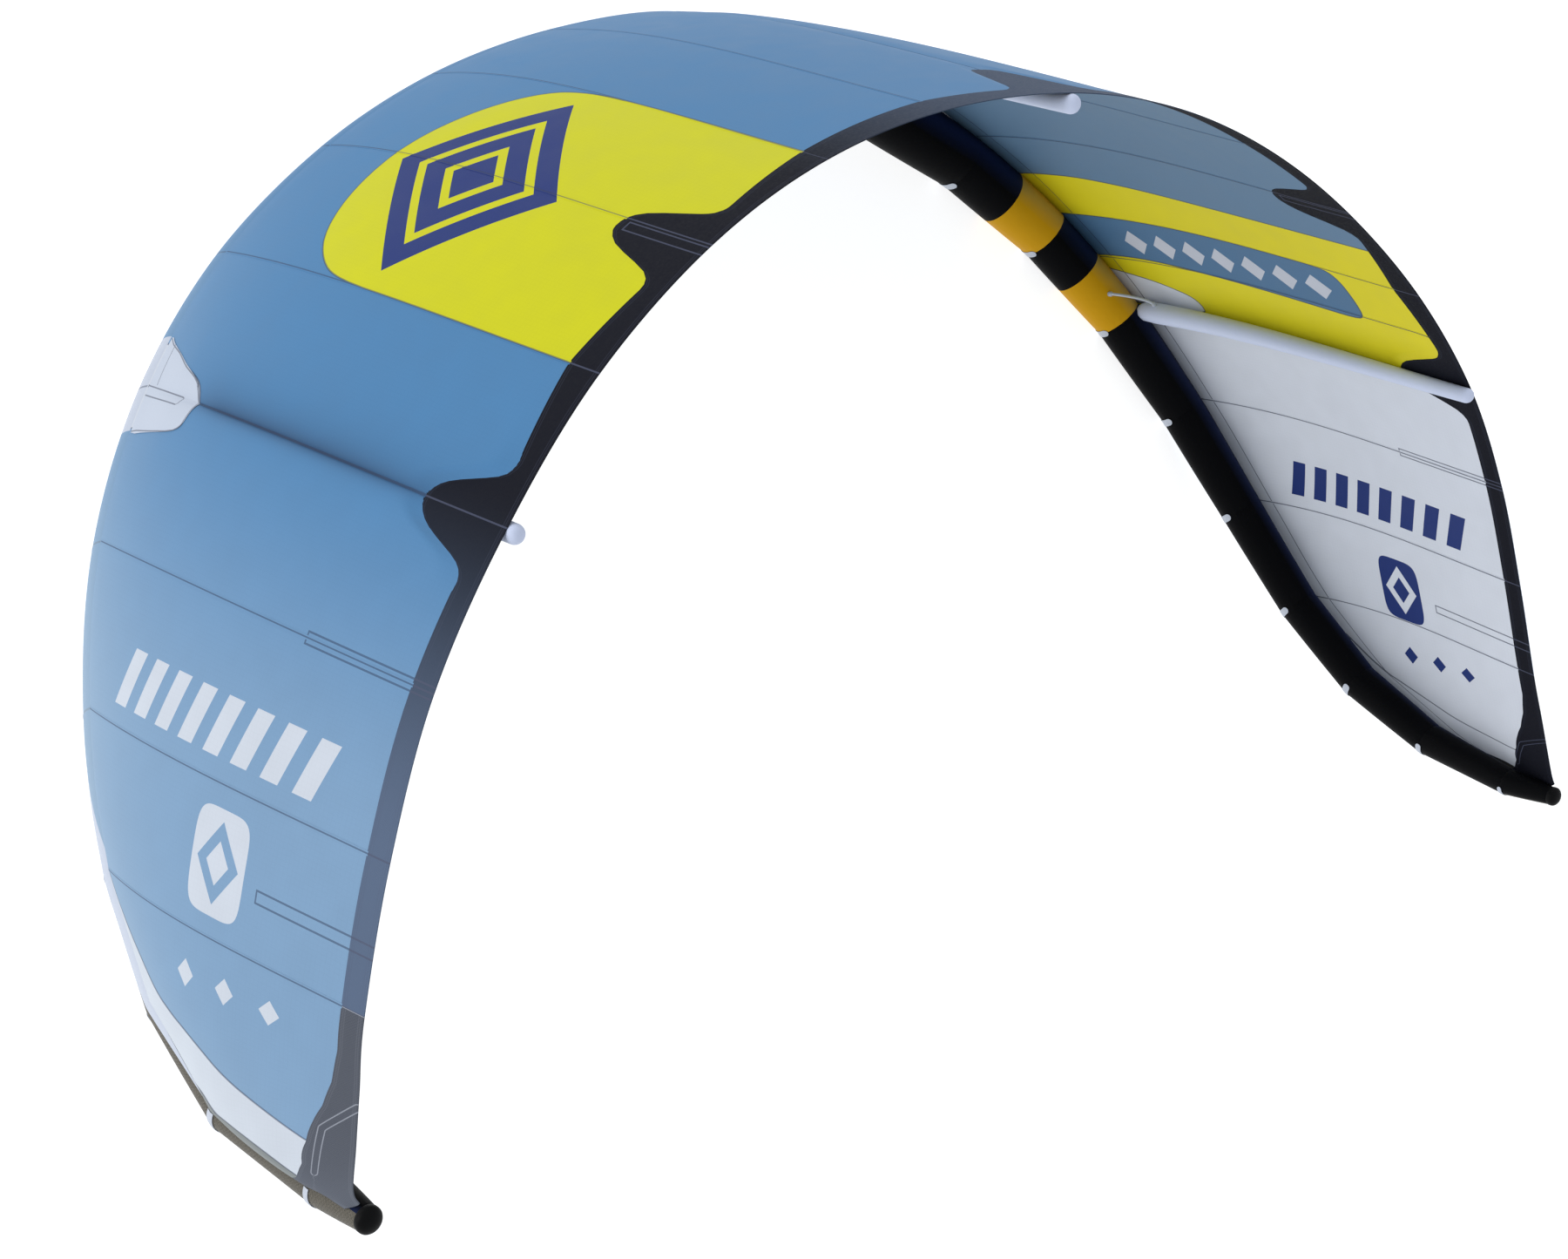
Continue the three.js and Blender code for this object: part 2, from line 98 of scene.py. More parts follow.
def new_material(name):
    """A material without nodes, and the function that adds them."""
    made = bpy.data.materials.new(name)
    made.use_nodes = True
    made.node_tree.nodes.clear()
    return made, partial(add_node, made.node_tree)


def close_material(add, base, roughness, bump, specular, glow=0.0):
    add("OutputMaterial", add("BsdfPrincipled", **{
        "Base Color": base, "Roughness": roughness, "Normal": bump, "Specular IOR Level": specular,
        "Emission Color": "#FFFFFF", "Emission Strength": glow}))


def paint_over(add, base, mask, ink):
    return add("Mix", mask, base, ink, data_type="RGBA")


floor_mesh = bmesh.new()
bmesh.ops.create_grid(floor_mesh, x_segments=1, y_segments=1, size=30)
floor = placed("floor", bpy.data.meshes.new("floor"))
floor_mesh.to_mesh(floor.data)
floor_mesh.free()
# The floor is a light table: it glows, which fills the kite from below and leaves hardly any shadow.
paint, add_to_floor = new_material("studio_floor")
speckle = add_to_floor("TexNoise", add_to_floor("TexCoord").outputs["Object"], None, 6.0)
shade = paint_over(add_to_floor, "#ADAEB0", speckle, "#B2B3B4")
close_material(add_to_floor, shade, 0.9, None, specular=0.1, glow=0.85)
floor.data.materials.append(paint)

scene = bpy.context.scene
scene.view_settings.view_transform = "Standard"
scene.world = bpy.data.worlds.new("studio")
scene.world.use_nodes = True
scene.world.node_tree.nodes["Background"].inputs[0].default_value = linear("#F4F7FC")
scene.world.node_tree.nodes["Background"].inputs[1].default_value = 0.8


def soft_light(name, place, aim, size, power):
    light = placed(name, bpy.data.lights.new(name, "AREA"))
    light.data.shape = "DISK"
    light.data.size = size
    light.data.energy = power
    light.location = place
    light.rotation_euler = (Vector(aim) - Vector(place)).to_track_quat("-Z", "Y").to_euler()


soft_light("from_the_left", (-9.0, 1.0, 1.8), (-1.0, 0.2, 0.8), 3.0, 180)
soft_light("from_above_the_canopy", (0.0, 8.0, 3.0), (-0.3, 0.2, 0.8), 4.0, 80)


# The canopy: nine panels a side of ripstop cloth.
# Woven nylon of 50 g a square metre with a thicker thread every few millimetres, dyed and coated. The
# panels are cut between the seams, sewn side by side, and stretched by the tube, struts and wind.
# The table has a row for each joint of the tube, from the middle to the tip, in mm on the flying kite:
# the tube's middle x, y, z, its radius, and the trailing edge x, y, z. A station is a place along it.
STATIONS = np.array([
    (0, 0, 64, 99, 0, -1563, -32), (383, -3, 10, 98, 369, -1555, -67),
    (735, -22, -99, 95, 710, -1557, -167), (1062, -65, -264, 90, 1023, -1576, -329),
    (1374, -137, -495, 85, 1318, -1611, -559), (1628, -246, -771, 79, 1553, -1646, -829),
    (1814, -387, -1078, 73, 1728, -1661, -1121), (1932, -568, -1397, 68, 1843, -1682, -1425),
    (1996, -783, -1689, 63, 1922, -1709, -1703), (2021, -1029, -1900, 59, 1951, -1733, -1838),
    (2023, -1312, -2028, 52, 1972, -1751, -1940), (1981, -1630, -2073, 41, 1988, -1765, -2016),
    (1971, -1781, -2072, 27, 1982, -1783, -2042)], float)
LAST = len(STATIONS) - 1
MIRRORED = STATIONS[1] * (-1, 1, 1, 1, -1, 1, 1)
PADDED = np.vstack([MIRRORED, STATIONS, 2 * STATIONS[-1] - STATIONS[-2], 3 * STATIONS[-1] - 2 * STATIONS[-2]])
SIDES = {"right": 1, "left": -1}
# Where the cloth is sewn to the tube, as an angle round the tube from its side nearest the trailing edge,
# and how far its middle lies off the tube there, in mm.
SEW_ANGLE, TIP_SEW_ANGLE, CLOTH_FRONT = math.radians(80), math.radians(38), 1.3
# The cloth's curve from front to back: its slope and the length of its handle at each end, as a part of
# its reach. Between two struts it crowns by so many mm more.
RISE, FALL, FRONT_HANDLE, BACK_HANDLE = math.radians(2), math.radians(5), 0.33, 0.4
CROWNS = ((0, 5, 17), (5, 12, 35))
# How the kite is turned and moved, in mm, to lie on the ground with its middle over the origin.
LEAN, MOVED_Y, MOVED_Z = math.radians(67.3), 1235.9, 148.1


def unit(v):
    return v / np.linalg.norm(v, axis=-1, keepdims=True)


def ease(v, low, high):
    t = np.clip((v - low) / (high - low), 0, 1)
    return t * t * (3 - 2 * t)


def table_at(station, curved):
    """The table of joints read at each station, on straight lines or on a smooth curve."""
    joint = np.clip(np.floor(station).astype(int), 0, LAST - 1)
    t = (station - joint)[:, None]
    before, start, end, after = (PADDED[joint + i] for i in range(4))
    if not curved:
        return start + (end - start) * t
    bend = (2 * before - 5 * start + 4 * end - after) * t * t
    twist = (3 * start - before - 3 * end + after) * t ** 3
    return 0.5 * (2 * start + (end - before) * t + bend + twist)


def bezier(u, start, rise, fall, end):
    return (1 - u) ** 3 * start + 3 * (1 - u) ** 2 * u * rise + 3 * (1 - u) * u * u * fall + u ** 3 * end


def outer_pull(station, degrees):
    """How far the canopy's pull draws the tube's side at this angle into a smooth curve over the joints."""
    turned = degrees % 360
    return ease(turned, 20, 80) * (1 - ease(turned, 130, 185)) * (1 - ease(np.abs(station), 7.6, 8.4))


def directions(station):
    """Along the span, across to the trailing edge, and outwards, at each station."""
    at = np.abs(station)
    ahead = table_at(np.minimum(at + 0.02, LAST), True)[:, :3]
    behind = table_at(np.abs(at - 0.02), True)[:, :3]
    behind[at < 0.02, 0] *= -1
    along = unit(ahead - behind)
    row = table_at(at, True)
    across = row[:, 4:] - row[:, :3]
    across = unit(across - along * (across * along).sum(1, keepdims=True))
    outward = np.cross(across, along)
    left = station < 0
    along[left] *= (1, -1, -1)
    across[left, 0] *= -1
    outward[left, 0] *= -1
    return along, across, outward


def on_cloth(station, share):
    """The middle of the canopy's cloth: share runs from 0 at the tube to 1 at the trailing edge."""
    at = np.abs(station)
    straight, smooth = table_at(at, False), table_at(at, True)
    _, across, outward = directions(at)
    angle = SEW_ANGLE + (TIP_SEW_ANGLE - SEW_ANGLE) * ease(at, 10, 11.5)
    blend = np.maximum(ease(share, 0, 0.3), outer_pull(at, np.degrees(angle)))[:, None]
    angle = angle[:, None]
    centre = straight[:, :3] * (1 - blend) + smooth[:, :3] * blend
    back = smooth[:, 4:]
    sewn = straight[:, 3:4] + CLOTH_FRONT
    front = centre + sewn * (across * np.cos(angle) + outward * np.sin(angle))
    chord = np.linalg.norm(back - centre, axis=1, keepdims=True)
    line = (back - centre) / chord
    reach = np.linalg.norm(front - back, axis=1, keepdims=True)
    rise = front + FRONT_HANDLE * reach * (line * math.cos(RISE) + outward * math.sin(RISE))
    fall = back + BACK_HANDLE * reach * (outward * math.sin(FALL) - line * math.cos(FALL))
    place = bezier(share[:, None], front, rise, fall, back)
    for first, last, crown in CROWNS:
        over_bay = np.sin(np.pi * np.clip((at - first) / (last - first), 0, 1))
        over_chord = np.sin(np.pi * np.clip(share, 0, 1) ** 0.8)
        place = place + outward * (crown * np.minimum(1, chord[:, 0] / 1200) * over_bay * over_chord)[:, None]
    place[station < 0, 0] *= -1
    return place


def cloth_axes(station, share):
    """The chordwise direction and the outward normal of the cloth."""
    behind, ahead = np.minimum(share + 0.01, 1), np.maximum(share - 0.01, 0)
    chordwise = unit(on_cloth(station, behind) - on_cloth(station, ahead))
    spanwise = on_cloth(station + 0.02, share) - on_cloth(station - 0.02, share)
    return chordwise, unit(np.cross(chordwise, spanwise))


def lying(places, sign):
    """From millimetres on the flying kite to metres on the kite as it lies."""
    x, y, z = places[:, 0] * sign, places[:, 1], places[:, 2]
    turned_y = y * math.cos(LEAN) + z * math.sin(LEAN) + MOVED_Y
    turned_z = z * math.cos(LEAN) - y * math.sin(LEAN) + MOVED_Z
    return np.stack([x, turned_y, turned_z], 1) / 1000


def travelled(path):
    """The length of a path up to each of its points."""
    return np.concatenate([[0], np.cumsum(np.linalg.norm(np.diff(path, axis=0), axis=1))])


SPAN_STEPS = np.linspace(0, LAST, 241)
SPAN_METRES = travelled(on_cloth(SPAN_STEPS, np.full(241, 0.6))) / 1000


def chord_metres(station):
    row = table_at(np.abs(station), True)
    return np.linalg.norm(row[:, 4:] - row[:, :3], axis=1) / 1000


def on_cut(station, share):
    """A place on the flat cut, in metres: along the span from the middle, and forward of the trailing edge,
    which is cut straight. Places ahead of it are below zero."""
    along_span = np.interp(np.abs(station), SPAN_STEPS, SPAN_METRES)
    return np.stack([along_span, (share - 1) * chord_metres(station)], 1)


def spot(station, share=1.0):
    """One place on the flat cut."""
    return on_cut(np.array([station]), np.array([share]))[0].tolist()


def pairs(text):
    """A table of two columns, such as the station and share of each corner of an outline."""
    return np.array([[float(n) for n in corner.split(",")] for corner in text.split()])


def rounded(corners):
    """An outline with its corners cut off twice, as a cutter's knife rounds them."""
    for _ in range(2):
        following = np.roll(corners, -1, 0)
        cuts = [corners * 0.75 + following * 0.25, corners * 0.25 + following * 0.75]
        corners = np.stack(cuts, 1).reshape(-1, 2)
    return corners


def depth_inside(points, corners):
    """How far each point of the cut is inside an outline, in metres. It is negative outside."""
    ends = np.roll(corners, -1, 0)
    edges = ends - corners
    gap = points[:, None] - corners[None]
    share = np.clip((gap * edges).sum(2) / (edges * edges).sum(1), 0, 1)
    distance = np.linalg.norm(gap - share[..., None] * edges, axis=2).min(1)
    above = points[:, None, 1] < corners[None, :, 1]
    above_end = points[:, None, 1] < ends[None, :, 1]
    height = np.where(edges[:, 1] == 0, 1e-9, edges[:, 1])
    crossing = corners[:, 0] + (points[:, None, 1] - corners[:, 1]) / height * edges[:, 0]
    inside = ((above != above_end) & (points[:, None, 0] < crossing)).sum(1) % 2 == 1
    return np.where(inside, distance, -distance)


BAND_EDGE = pairs(
    "0,.825 .12,.83 .3,.955 .38,.965 1,.949 2,.955 2.7,.967 2.78,.955 2.92,.862 3,.84 3.11,.838 3.2,.86 "
    "3.32,.95 3.4,.964 4,.946 4.65,.964 4.74,.952 4.88,.858 4.96,.838 5.07,.838 5.15,.862 5.28,.948 "
    "5.36,.962 6,.958 7,.951 8,.941 8.5,.934 9,.908 9.4,.862 9.7,.8 10.05,.72 10.43,.57 10.58,.44 "
    "10.69,.32 10.76,.21 10.81,.11 10.84,.05 10.85,0 12,0")


def eased_edge(outline, station):
    """The share of an outline at each station, with its corners eased."""
    steps = np.array([-0.03, -0.015, 0, 0.015, 0.03])[:, None]
    return np.interp(np.abs(station + steps), *outline.T).mean(0)


def band_share(station):
    """Where the trailing edge band starts."""
    at = np.abs(station)
    return np.where(at > 10.5, np.interp(at, *BAND_EDGE.T), eased_edge(BAND_EDGE, at))


def mapped_grid(columns, rows, mesh=None):
    """A flat grid, added to the mesh if there is one, and the column and row of each of its points."""
    mesh = mesh or bmesh.new()
    made = bmesh.ops.create_grid(mesh, x_segments=columns - 1, y_segments=rows - 1, size=1)
    flat = np.array([v.co[:2] for v in made["verts"]])
    across = np.rint((flat[:, 0] + 1) / 2 * (columns - 1)).astype(int)
    along = np.rint((flat[:, 1] + 1) / 2 * (rows - 1)).astype(int)
    return mesh, across, along


def to_piece(name, node, slot, mesh, places, materials, cut=None, fields=None, thickness=0.0):
    """Moves the mesh's points to their places and makes it a piece of the kite, in place of a node. Cloth
    gets its thickness. Where it has a second material, that is the inside's."""
    for vert, place in zip(mesh.verts, places.tolist()):
        vert.co = place
    for edge in mesh.edges:
        edge.smooth = not (thickness and edge.is_boundary)
    data = bpy.data.meshes.new(name)
    mesh.to_mesh(data)
    mesh.free()
    data.polygons.foreach_set("use_smooth", [True] * len(data.polygons))
    for material in materials:
        data.materials.append(material)
    if cut is not None:
        corner = np.empty(len(data.loops), int)
        data.loops.foreach_get("vertex_index", corner)
        data.uv_layers.new(name="cut").data.foreach_set("uv", cut[corner].ravel())
    for layer, values in (fields or {}).items():
        data.attributes.new(layer, "FLOAT", "POINT").data.foreach_set("value", values)
    piece = placed(name, data)
    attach(piece, "root")
    if node:
        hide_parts(node)
    if thickness:
        wall = piece.modifiers.new("cloth", "SOLIDIFY")
        wall.thickness = thickness
        wall.offset = 0
        wall.material_offset = len(materials) - 1
    return piece


def lifted(station, share, sign, lift=None):
    """Places on the lying kite's cloth. Lift gives the millimetres off the smooth surface."""
    smooth = on_cloth(station, share)
    if lift:
        smooth = smooth + cloth_axes(station, share)[1] * lift(station, share)[:, None]
    return lying(smooth, sign)


def lay_out(stations, rows, edges, sign, lift=None):
    """A sheet on the kite: columns at the stations, rows between the two shares that edges gives."""
    mesh, across, along = mapped_grid(len(stations), len(rows))
    if sign == 1:
        bmesh.ops.reverse_faces(mesh, faces=mesh.faces)
    station = stations[across]
    front, back = edges(station)
    share = front + (back - front) * rows[along]
    grid = np.empty((len(stations), len(rows), 3))
    grid[across, along] = places = lifted(station, share, sign, lift)
    return SimpleNamespace(mesh=mesh, station=station, share=share, places=places, grid=grid,
                           cut=on_cut(station, share), metres=share * chord_metres(station))


def sew_on(name, node, slot, sheet, cloths, fields, thickness, **stated):
    """Makes a laid sheet a piece. The keywords stated with it are not used."""
    piece = to_piece(name, node, slot, sheet.mesh, sheet.places, cloths, sheet.cut, fields, thickness)


# The dyed fields, as outlines in stations and shares. The left wing has a yellow block behind the tube, the
# right one a yellow band with a blue one in it and white cloth from the strut out. Both have a white patch
# at the strut and a white strip at the tip.
FIELDS = {
    "left": {
        "yellow": "1.99,1.8 1.99,.9 2.0,.6 2.02,.48 2.12,.4 2.43,.317 2.91,.243 3.35,.231 3.71,.258 "
                  "3.91,.315 4.0,.39 4.0,.6 4.0,1.8",
        "white": "4.6,-.1 4.67,-.03 4.72,.012 4.8,.101 4.86,.171 4.9,.194 4.95,.203 5.03,.2 5.09,.194 "
                 "5.14,.181 5.17,.165 5.29,0 5.33,-.1",
        "strip": "7.9,-.1 7.94,0 8.22,.021 8.44,.049 8.6,.083 8.84,.125 8.96,.19 9.19,.286 9.45,.37 "
                 "9.7,.525 9.96,.678 10.04,.73 10.2,.9 11.4,.9 11.4,-.1",
        "dark": "9.7,-.1 9.78,.043 9.97,.05 10.03,.115 10.27,.292 10.68,.33 11.2,.33 11.2,-.1"},
    "right": {
        "yellow": "3.52,-.2 3.5,.134 3.53,.257 3.58,.49 3.58,.687 3.55,.955 3.54,1.2 5.2,1.2 5.2,-.2",
        "blue": "3.9,-.2 4.0,-.1 4.0,.164 4.0,.69 4.0,.77 4.03,.795 4.12,.808 4.3,.812 4.45,.81 4.53,.8 "
                "4.545,.76 4.54,.69 4.51,.388 4.46,.117 4.5,-.1 4.5,-.2",
        "white": "4.56,-.1 4.63,0 4.69,.072 4.79,.161 4.85,.213 4.94,.236 5.0,.24 5.0,.1 5.0,-.1",
        "strip": "8.2,-.1 8.43,.011 8.64,.03 8.84,.055 9.03,.098 9.23,.142 9.41,.195 9.73,.3 10.0,.55 "
                 "10.14,.7 10.3,.9 11.4,.9 11.4,-.1",
        "dark": "10.2,-.1 10.3,.1 10.5,.3 10.7,.33 11.2,.33 11.2,-.1"}}


def field_depths(side, cut):
    """How far each point of the cut is inside each field. A line of one share bends on the cut, so every
    outline goes there in short steps."""
    depths = {}
    for name, outline in FIELDS[side].items():
        corners = rounded(pairs(outline))
        steps = corners + (np.roll(corners, -1, 0) - corners) * np.linspace(0, 1, 6)[:-1, None, None]
        depths[name] = depth_inside(cut, on_cut(*steps.transpose(1, 0, 2).reshape(-1, 2).T))
    return depths


BLUE, DEEP_BLUE, YELLOW, WHITE = "#477AA6", "#43769F", "#C6C502", "#D0D5DF"
NAVY, CHALK, OLIVE = "#1A2F6E", "#BCC1CC", "#35332C"
DYES = {
    "left": {"ground": BLUE, "wing": BLUE, "yellow": YELLOW, "white": CHALK, "strip": CHALK, "dark": OLIVE},
    "right": {"ground": BLUE, "wing": WHITE, "yellow": YELLOW, "blue": DEEP_BLUE, "white": WHITE,
              "strip": WHITE, "dark": OLIVE}}
# The cloth's colours on its inner side, where they differ. The greyer blues are partly the duller coated
# reverse, partly painted shade, as this side lies in shade.
INSIDE = {BLUE: "#5D7B97", DEEP_BLUE: "#4C7092", YELLOW: "#D7CB1C"}
SEAM_INK = "#26304A"


# Prints. Each is a plain geometric shape on the cut: x along the span, y towards the trailing edge, in
# metres from its own middle.
def nested_diamonds(add, x, y, pitch=1 / 8.4, filled=0.7, half=0.357):
    reach = add("ADD", add("ABSOLUTE", x), add("ABSOLUTE", y))
    ring = add("LESS_THAN", add("FRACT", add("MULTIPLY", reach, 1 / pitch)), filled)
    return add("MULTIPLY", ring, add("LESS_THAN", reach, half))


def slanted_bars(add, x, y, pitch=0.1, filled=0.56, slant=0.35, length=0.8, height=0.13):
    along = add("MULTIPLY_ADD", x, slant, y)
    bar = add("LESS_THAN", add("FRACT", add("MULTIPLY", along, 1 / pitch)), filled)
    block = add("MULTIPLY", add("COMPARE", x, 0.0, height / 2), add("COMPARE", along, 0.0, length / 2))
    return add("MULTIPLY", bar, block)


def tile_with_diamond(add, x, y, half_length=0.09, half_width=0.1125, roundness=5.0):
    across = add("MULTIPLY", add("ABSOLUTE", x), 1 / half_width)
    back = add("MULTIPLY", add("ABSOLUTE", y), 1 / half_length)
    corner = add("ADD", add("POWER", across, roundness), add("POWER", back, roundness))
    ring = add("COMPARE", add("ADD", across, back), 0.6, 0.18)
    return add("SUBTRACT", add("LESS_THAN", corner, 1.0), ring, use_clamp=True)


def small_diamonds(add, x, y, pitch=0.14, radius=0.03, count=3):
    step = add("FRACT", add("ADD", add("MULTIPLY", y, 1 / pitch), 0.5))
    back = add("MULTIPLY", add("ABSOLUTE", add("SUBTRACT", step, 0.5)), pitch)
    shape = add("LESS_THAN", add("ADD", back, add("ABSOLUTE", x)), radius)
    return add("MULTIPLY", shape, add("COMPARE", y, 0.0, pitch * count / 2))


# Each print's shape, station, share and ink, and its own sizes where they differ.
PRINTS = {
    "left": [(nested_diamonds, 3.05, 0.49, NAVY), (slanted_bars, 6.67, 0.53, CHALK),
             (tile_with_diamond, 7.47, 0.565, CHALK), (small_diamonds, 8.42, 0.55, CHALK)],
    "right": [(small_diamonds, 4.27, 0.45, CHALK, 0.135, 0.052, 7), (slanted_bars, 6.67, 0.54, NAVY),
              (tile_with_diamond, 7.6, 0.48, NAVY), (small_diamonds, 8.55, 0.5, NAVY, 0.13)]}
# Batten pockets: sleeves of cloth over a batten, from here back to the trailing edge.
POCKETS = {"left": [(6.0, 0.72), (7.55, 0.69)], "right": [(6.0, 0.71), (7.66, 0.63)]}
POCKET_WIDTH = 0.026


def pocket_line(add, x, y, station, share, width):
    """The stitched outline of a batten pocket."""
    middle_x, middle_y = spot(station, share)
    beside = add("ABSOLUTE", add("SUBTRACT", x, middle_x))
    outline = add("MAXIMUM", add("SUBTRACT", beside, POCKET_WIDTH / 2), add("SUBTRACT", middle_y, y))
    return add("COMPARE", outline, 0.0, width / 2)


def any_of(add, masks):
    return reduce(partial(add, "MAXIMUM"), masks, 0.0)


def with_painted_sheen(add, base, most, tint):
    """Painted sheen: the colour lightened towards the tint as the attribute says, most on the lower wings'
    outer side.
    """
    return paint_over(add, base, add("MULTIPLY", "bleach", most), tint)


made_cloths = {}
# How far a print and a pocket can reach past a panel, in stations, and how far from the tube the hem is
# sewn, in metres. Then half the width that each line is drawn: real rows of stitches are 1 mm wide or so.
PRINT_REACH, POCKET_REACH, HEM_AT = 0.9, 0.2, 0.06
EDGE_LINE, ROW_INSIDE, ROW_OUTSIDE, HEM_ROW = 0.0025, 0.00225, 0.0017, 0.002
THREADS_A_METRE, THREAD_PART = 83.0, 0.14


def ripstop(side, fields, first, last, inside=False, seam=False):
    """Coated ripstop nylon: fine even weave, a soft dull gloss, a faint grid of thicker threads."""
    prints = [p for p in PRINTS[side] if seam or first - PRINT_REACH < p[1] < last + PRINT_REACH]
    pockets = [p for p in POCKETS[side] if first - POCKET_REACH < p[0] < last + POCKET_REACH and not seam]
    key = (side, tuple(fields), tuple(p[1] for p in prints), tuple(pockets), inside, seam, first >= 5)
    if key in made_cloths:
        return made_cloths[key]
    made, add = new_material(f"ripstop_{side}_{len(made_cloths)}")
    cut = add("UVMap", uv_map="cut")
    x, y = add("SeparateXYZ", cut).outputs[:2]
    ground = WHITE if side == "right" and first >= 5 else DYES[side]["ground"]
    base = INSIDE.get(ground, ground) if inside else ground
    lines = []
    for name in fields:
        dye = DYES[side][name]
        mask = add("GREATER_THAN", name, 0.0)
        base = paint_over(add, base, mask, INSIDE.get(dye, dye) if inside else dye)
        lines.append(add("COMPARE", name, 0.0, EDGE_LINE))
    for shape, station, share, ink, *sizes in prints:
        own = [add("SUBTRACT", *pair) for pair in zip((x, y), spot(station, share))]
        base = paint_over(add, base, shape(add, *own, *sizes), ink)
    if not inside:
        # Painted sheen, lightest on the lower wings.
        base = with_painted_sheen(add, base, 0.2, "#D0DBDE")
        # Painted shade in the valley over a side strut.
        base = paint_over(add, base, "fold", "#1B3454")
    # The hem that is sewn to the tube shows inside as one line of stitches.
    if seam:
        lines.append(add("COMPARE", "from_row", 0.0, ROW_INSIDE if inside else ROW_OUTSIDE))
    elif inside:
        lines.append(add("COMPARE", "from_tube", HEM_AT, HEM_ROW))
    lines = any_of(add, lines + [pocket_line(add, x, y, *pocket, 0.0045) for pocket in pockets])
    base = paint_over(add, base, add("MULTIPLY", lines, 0.74 if inside else 0.6), SEAM_INK)
    # The grid of thicker threads is 6 mm in the real cloth. It is drawn at 12 mm, to show at all.
    steps = add("VectorMath FRACTION", add("VectorMath SCALE", cut, THREADS_A_METRE))
    thread = any_of(add, [add("LESS_THAN", step, THREAD_PART)
                          for step in add("SeparateXYZ", steps).outputs[:2]])
    place = add("TexCoord").outputs["Object"]
    cloudy = add("TexNoise", place, None, 1.6, 2.0)
    tone = add("MULTIPLY_ADD", thread, -0.02, add("MapRange", cloudy, 0.3, 0.7, 0.975, 1.02))
    base = add("VectorMath SCALE", base, tone)
    creased = add("MULTIPLY", add("TexNoise", place, None, 7.0, 4.0), 0.35)
    height = add("MULTIPLY_ADD", lines, -0.2, add("MULTIPLY_ADD", thread, 0.04, creased))
    bump = add("Bump", 0.2, 0.002, None, height)
    close_material(add, base, add("MapRange", cloudy, 0.2, 0.8, 0.5, 0.6), bump, specular=0.16)
    made_cloths[key] = made
    return made


def panel_stations(first, last):
    """Evenly spaced columns, closer beside the seams at the panel's two sides."""
    inner = np.linspace(first, last, max(2, round((last - first) * 32)) + 1)[1:-1]
    return np.concatenate([[first, first + 0.012], inner, [last - 0.012, last]])


# How high the cloth bulges beside each strut, in mm, and how far from it, in stations.
BULGES, BULGE_WIDTH = {0: 4, 5: 13}, 0.13
LAP = 0.006


def panel_end(station):
    """The share where the panels end, a little way under the trailing edge band."""
    return np.minimum(band_share(station) + LAP, 1)


def cloth_lift(station, share):
    """Millimetres off the smooth surface. The cloth is drawn tight between the tube's joints, bulges on
    both sides of a strut that holds it down, and puckers a little beside each seam."""
    at = np.abs(station)
    taut = 2.0 * np.exp(-share / 0.07) * (1 - np.cos(np.pi * station) ** 6) * ease(share, 0, 0.03)
    off_struts = [(height, np.abs(at - strut) / BULGE_WIDTH) for strut, height in BULGES.items()]
    bulge = sum(height * off * np.exp(1 - off) for height, off in off_struts)
    off_seam = np.abs(station - np.rint(station))
    pucker = 0.3 * (np.exp(-off_seam / 0.05) - np.exp(-off_seam / 0.02))
    pucker = pucker * np.sin(share * chord_metres(station) * 70 + 2 * np.sin(station * 9))
    lift = taut + (bulge + pucker) * ease(share, 0.01, 0.14)
    return lift * ease(panel_end(station) - share, 0.0, 0.04)


def fold_shade_at(station, share):
    """Painted shade in the soft valley over a side strut, reaching further towards the middle."""
    off = np.abs(station) - 5
    painted_shade = 0.78 * np.exp(-np.abs(off) / np.where(off < 0, 0.11, 0.035))
    return painted_shade * ease(share, 0.1, 0.3) * (1 - 0.5 * ease(share, 0.6, 1))


def painted_sheen_at(station, from_tube):
    """How much painted sheen lightens the outside of the wings below the struts, and most near the tube."""
    at = np.abs(station)
    return ease(at, 4.75, 7.0) + 0.6 * np.exp(-from_tube / 0.2) * ease(at, 3, 4.8)


PANEL_ENDS = [(k, k + 1) for k in range(8)] + [(8, 10.84)]
PANEL_ROWS = np.linspace(0, 1, 73) ** 1.08
for side, sign in SIDES.items():
    for number, (first, last) in enumerate(PANEL_ENDS, 1):
        node = "tip" if number == 9 else str(number)
        sheet = lay_out(panel_stations(first, last), PANEL_ROWS, lambda at: (0, panel_end(at)), sign,
                        cloth_lift)
        fields = {name: d for name, d in field_depths(side, sheet.cut).items() if d.max() > -0.01}
        cloths = [ripstop(side, fields, first, last, inside) for inside in (False, True)]
        # Then where painted sheen lightens the cloth, and where painted shade darkens the valley over the
        # side strut.
        fields.update(from_tube=sheet.metres, bleach=painted_sheen_at(sheet.station, sheet.metres),
                      fold=fold_shade_at(sheet.station, sheet.share))
        sew_on(f"canopy_{side}_{node}", f"panel_{side}_{node}",
               "canopy_yellow" if number in (3, 4) else "canopy_blue",
               sheet, cloths, fields, 0.0012, rests_on=[f"tube_{side}_{min(number, 9)}"])


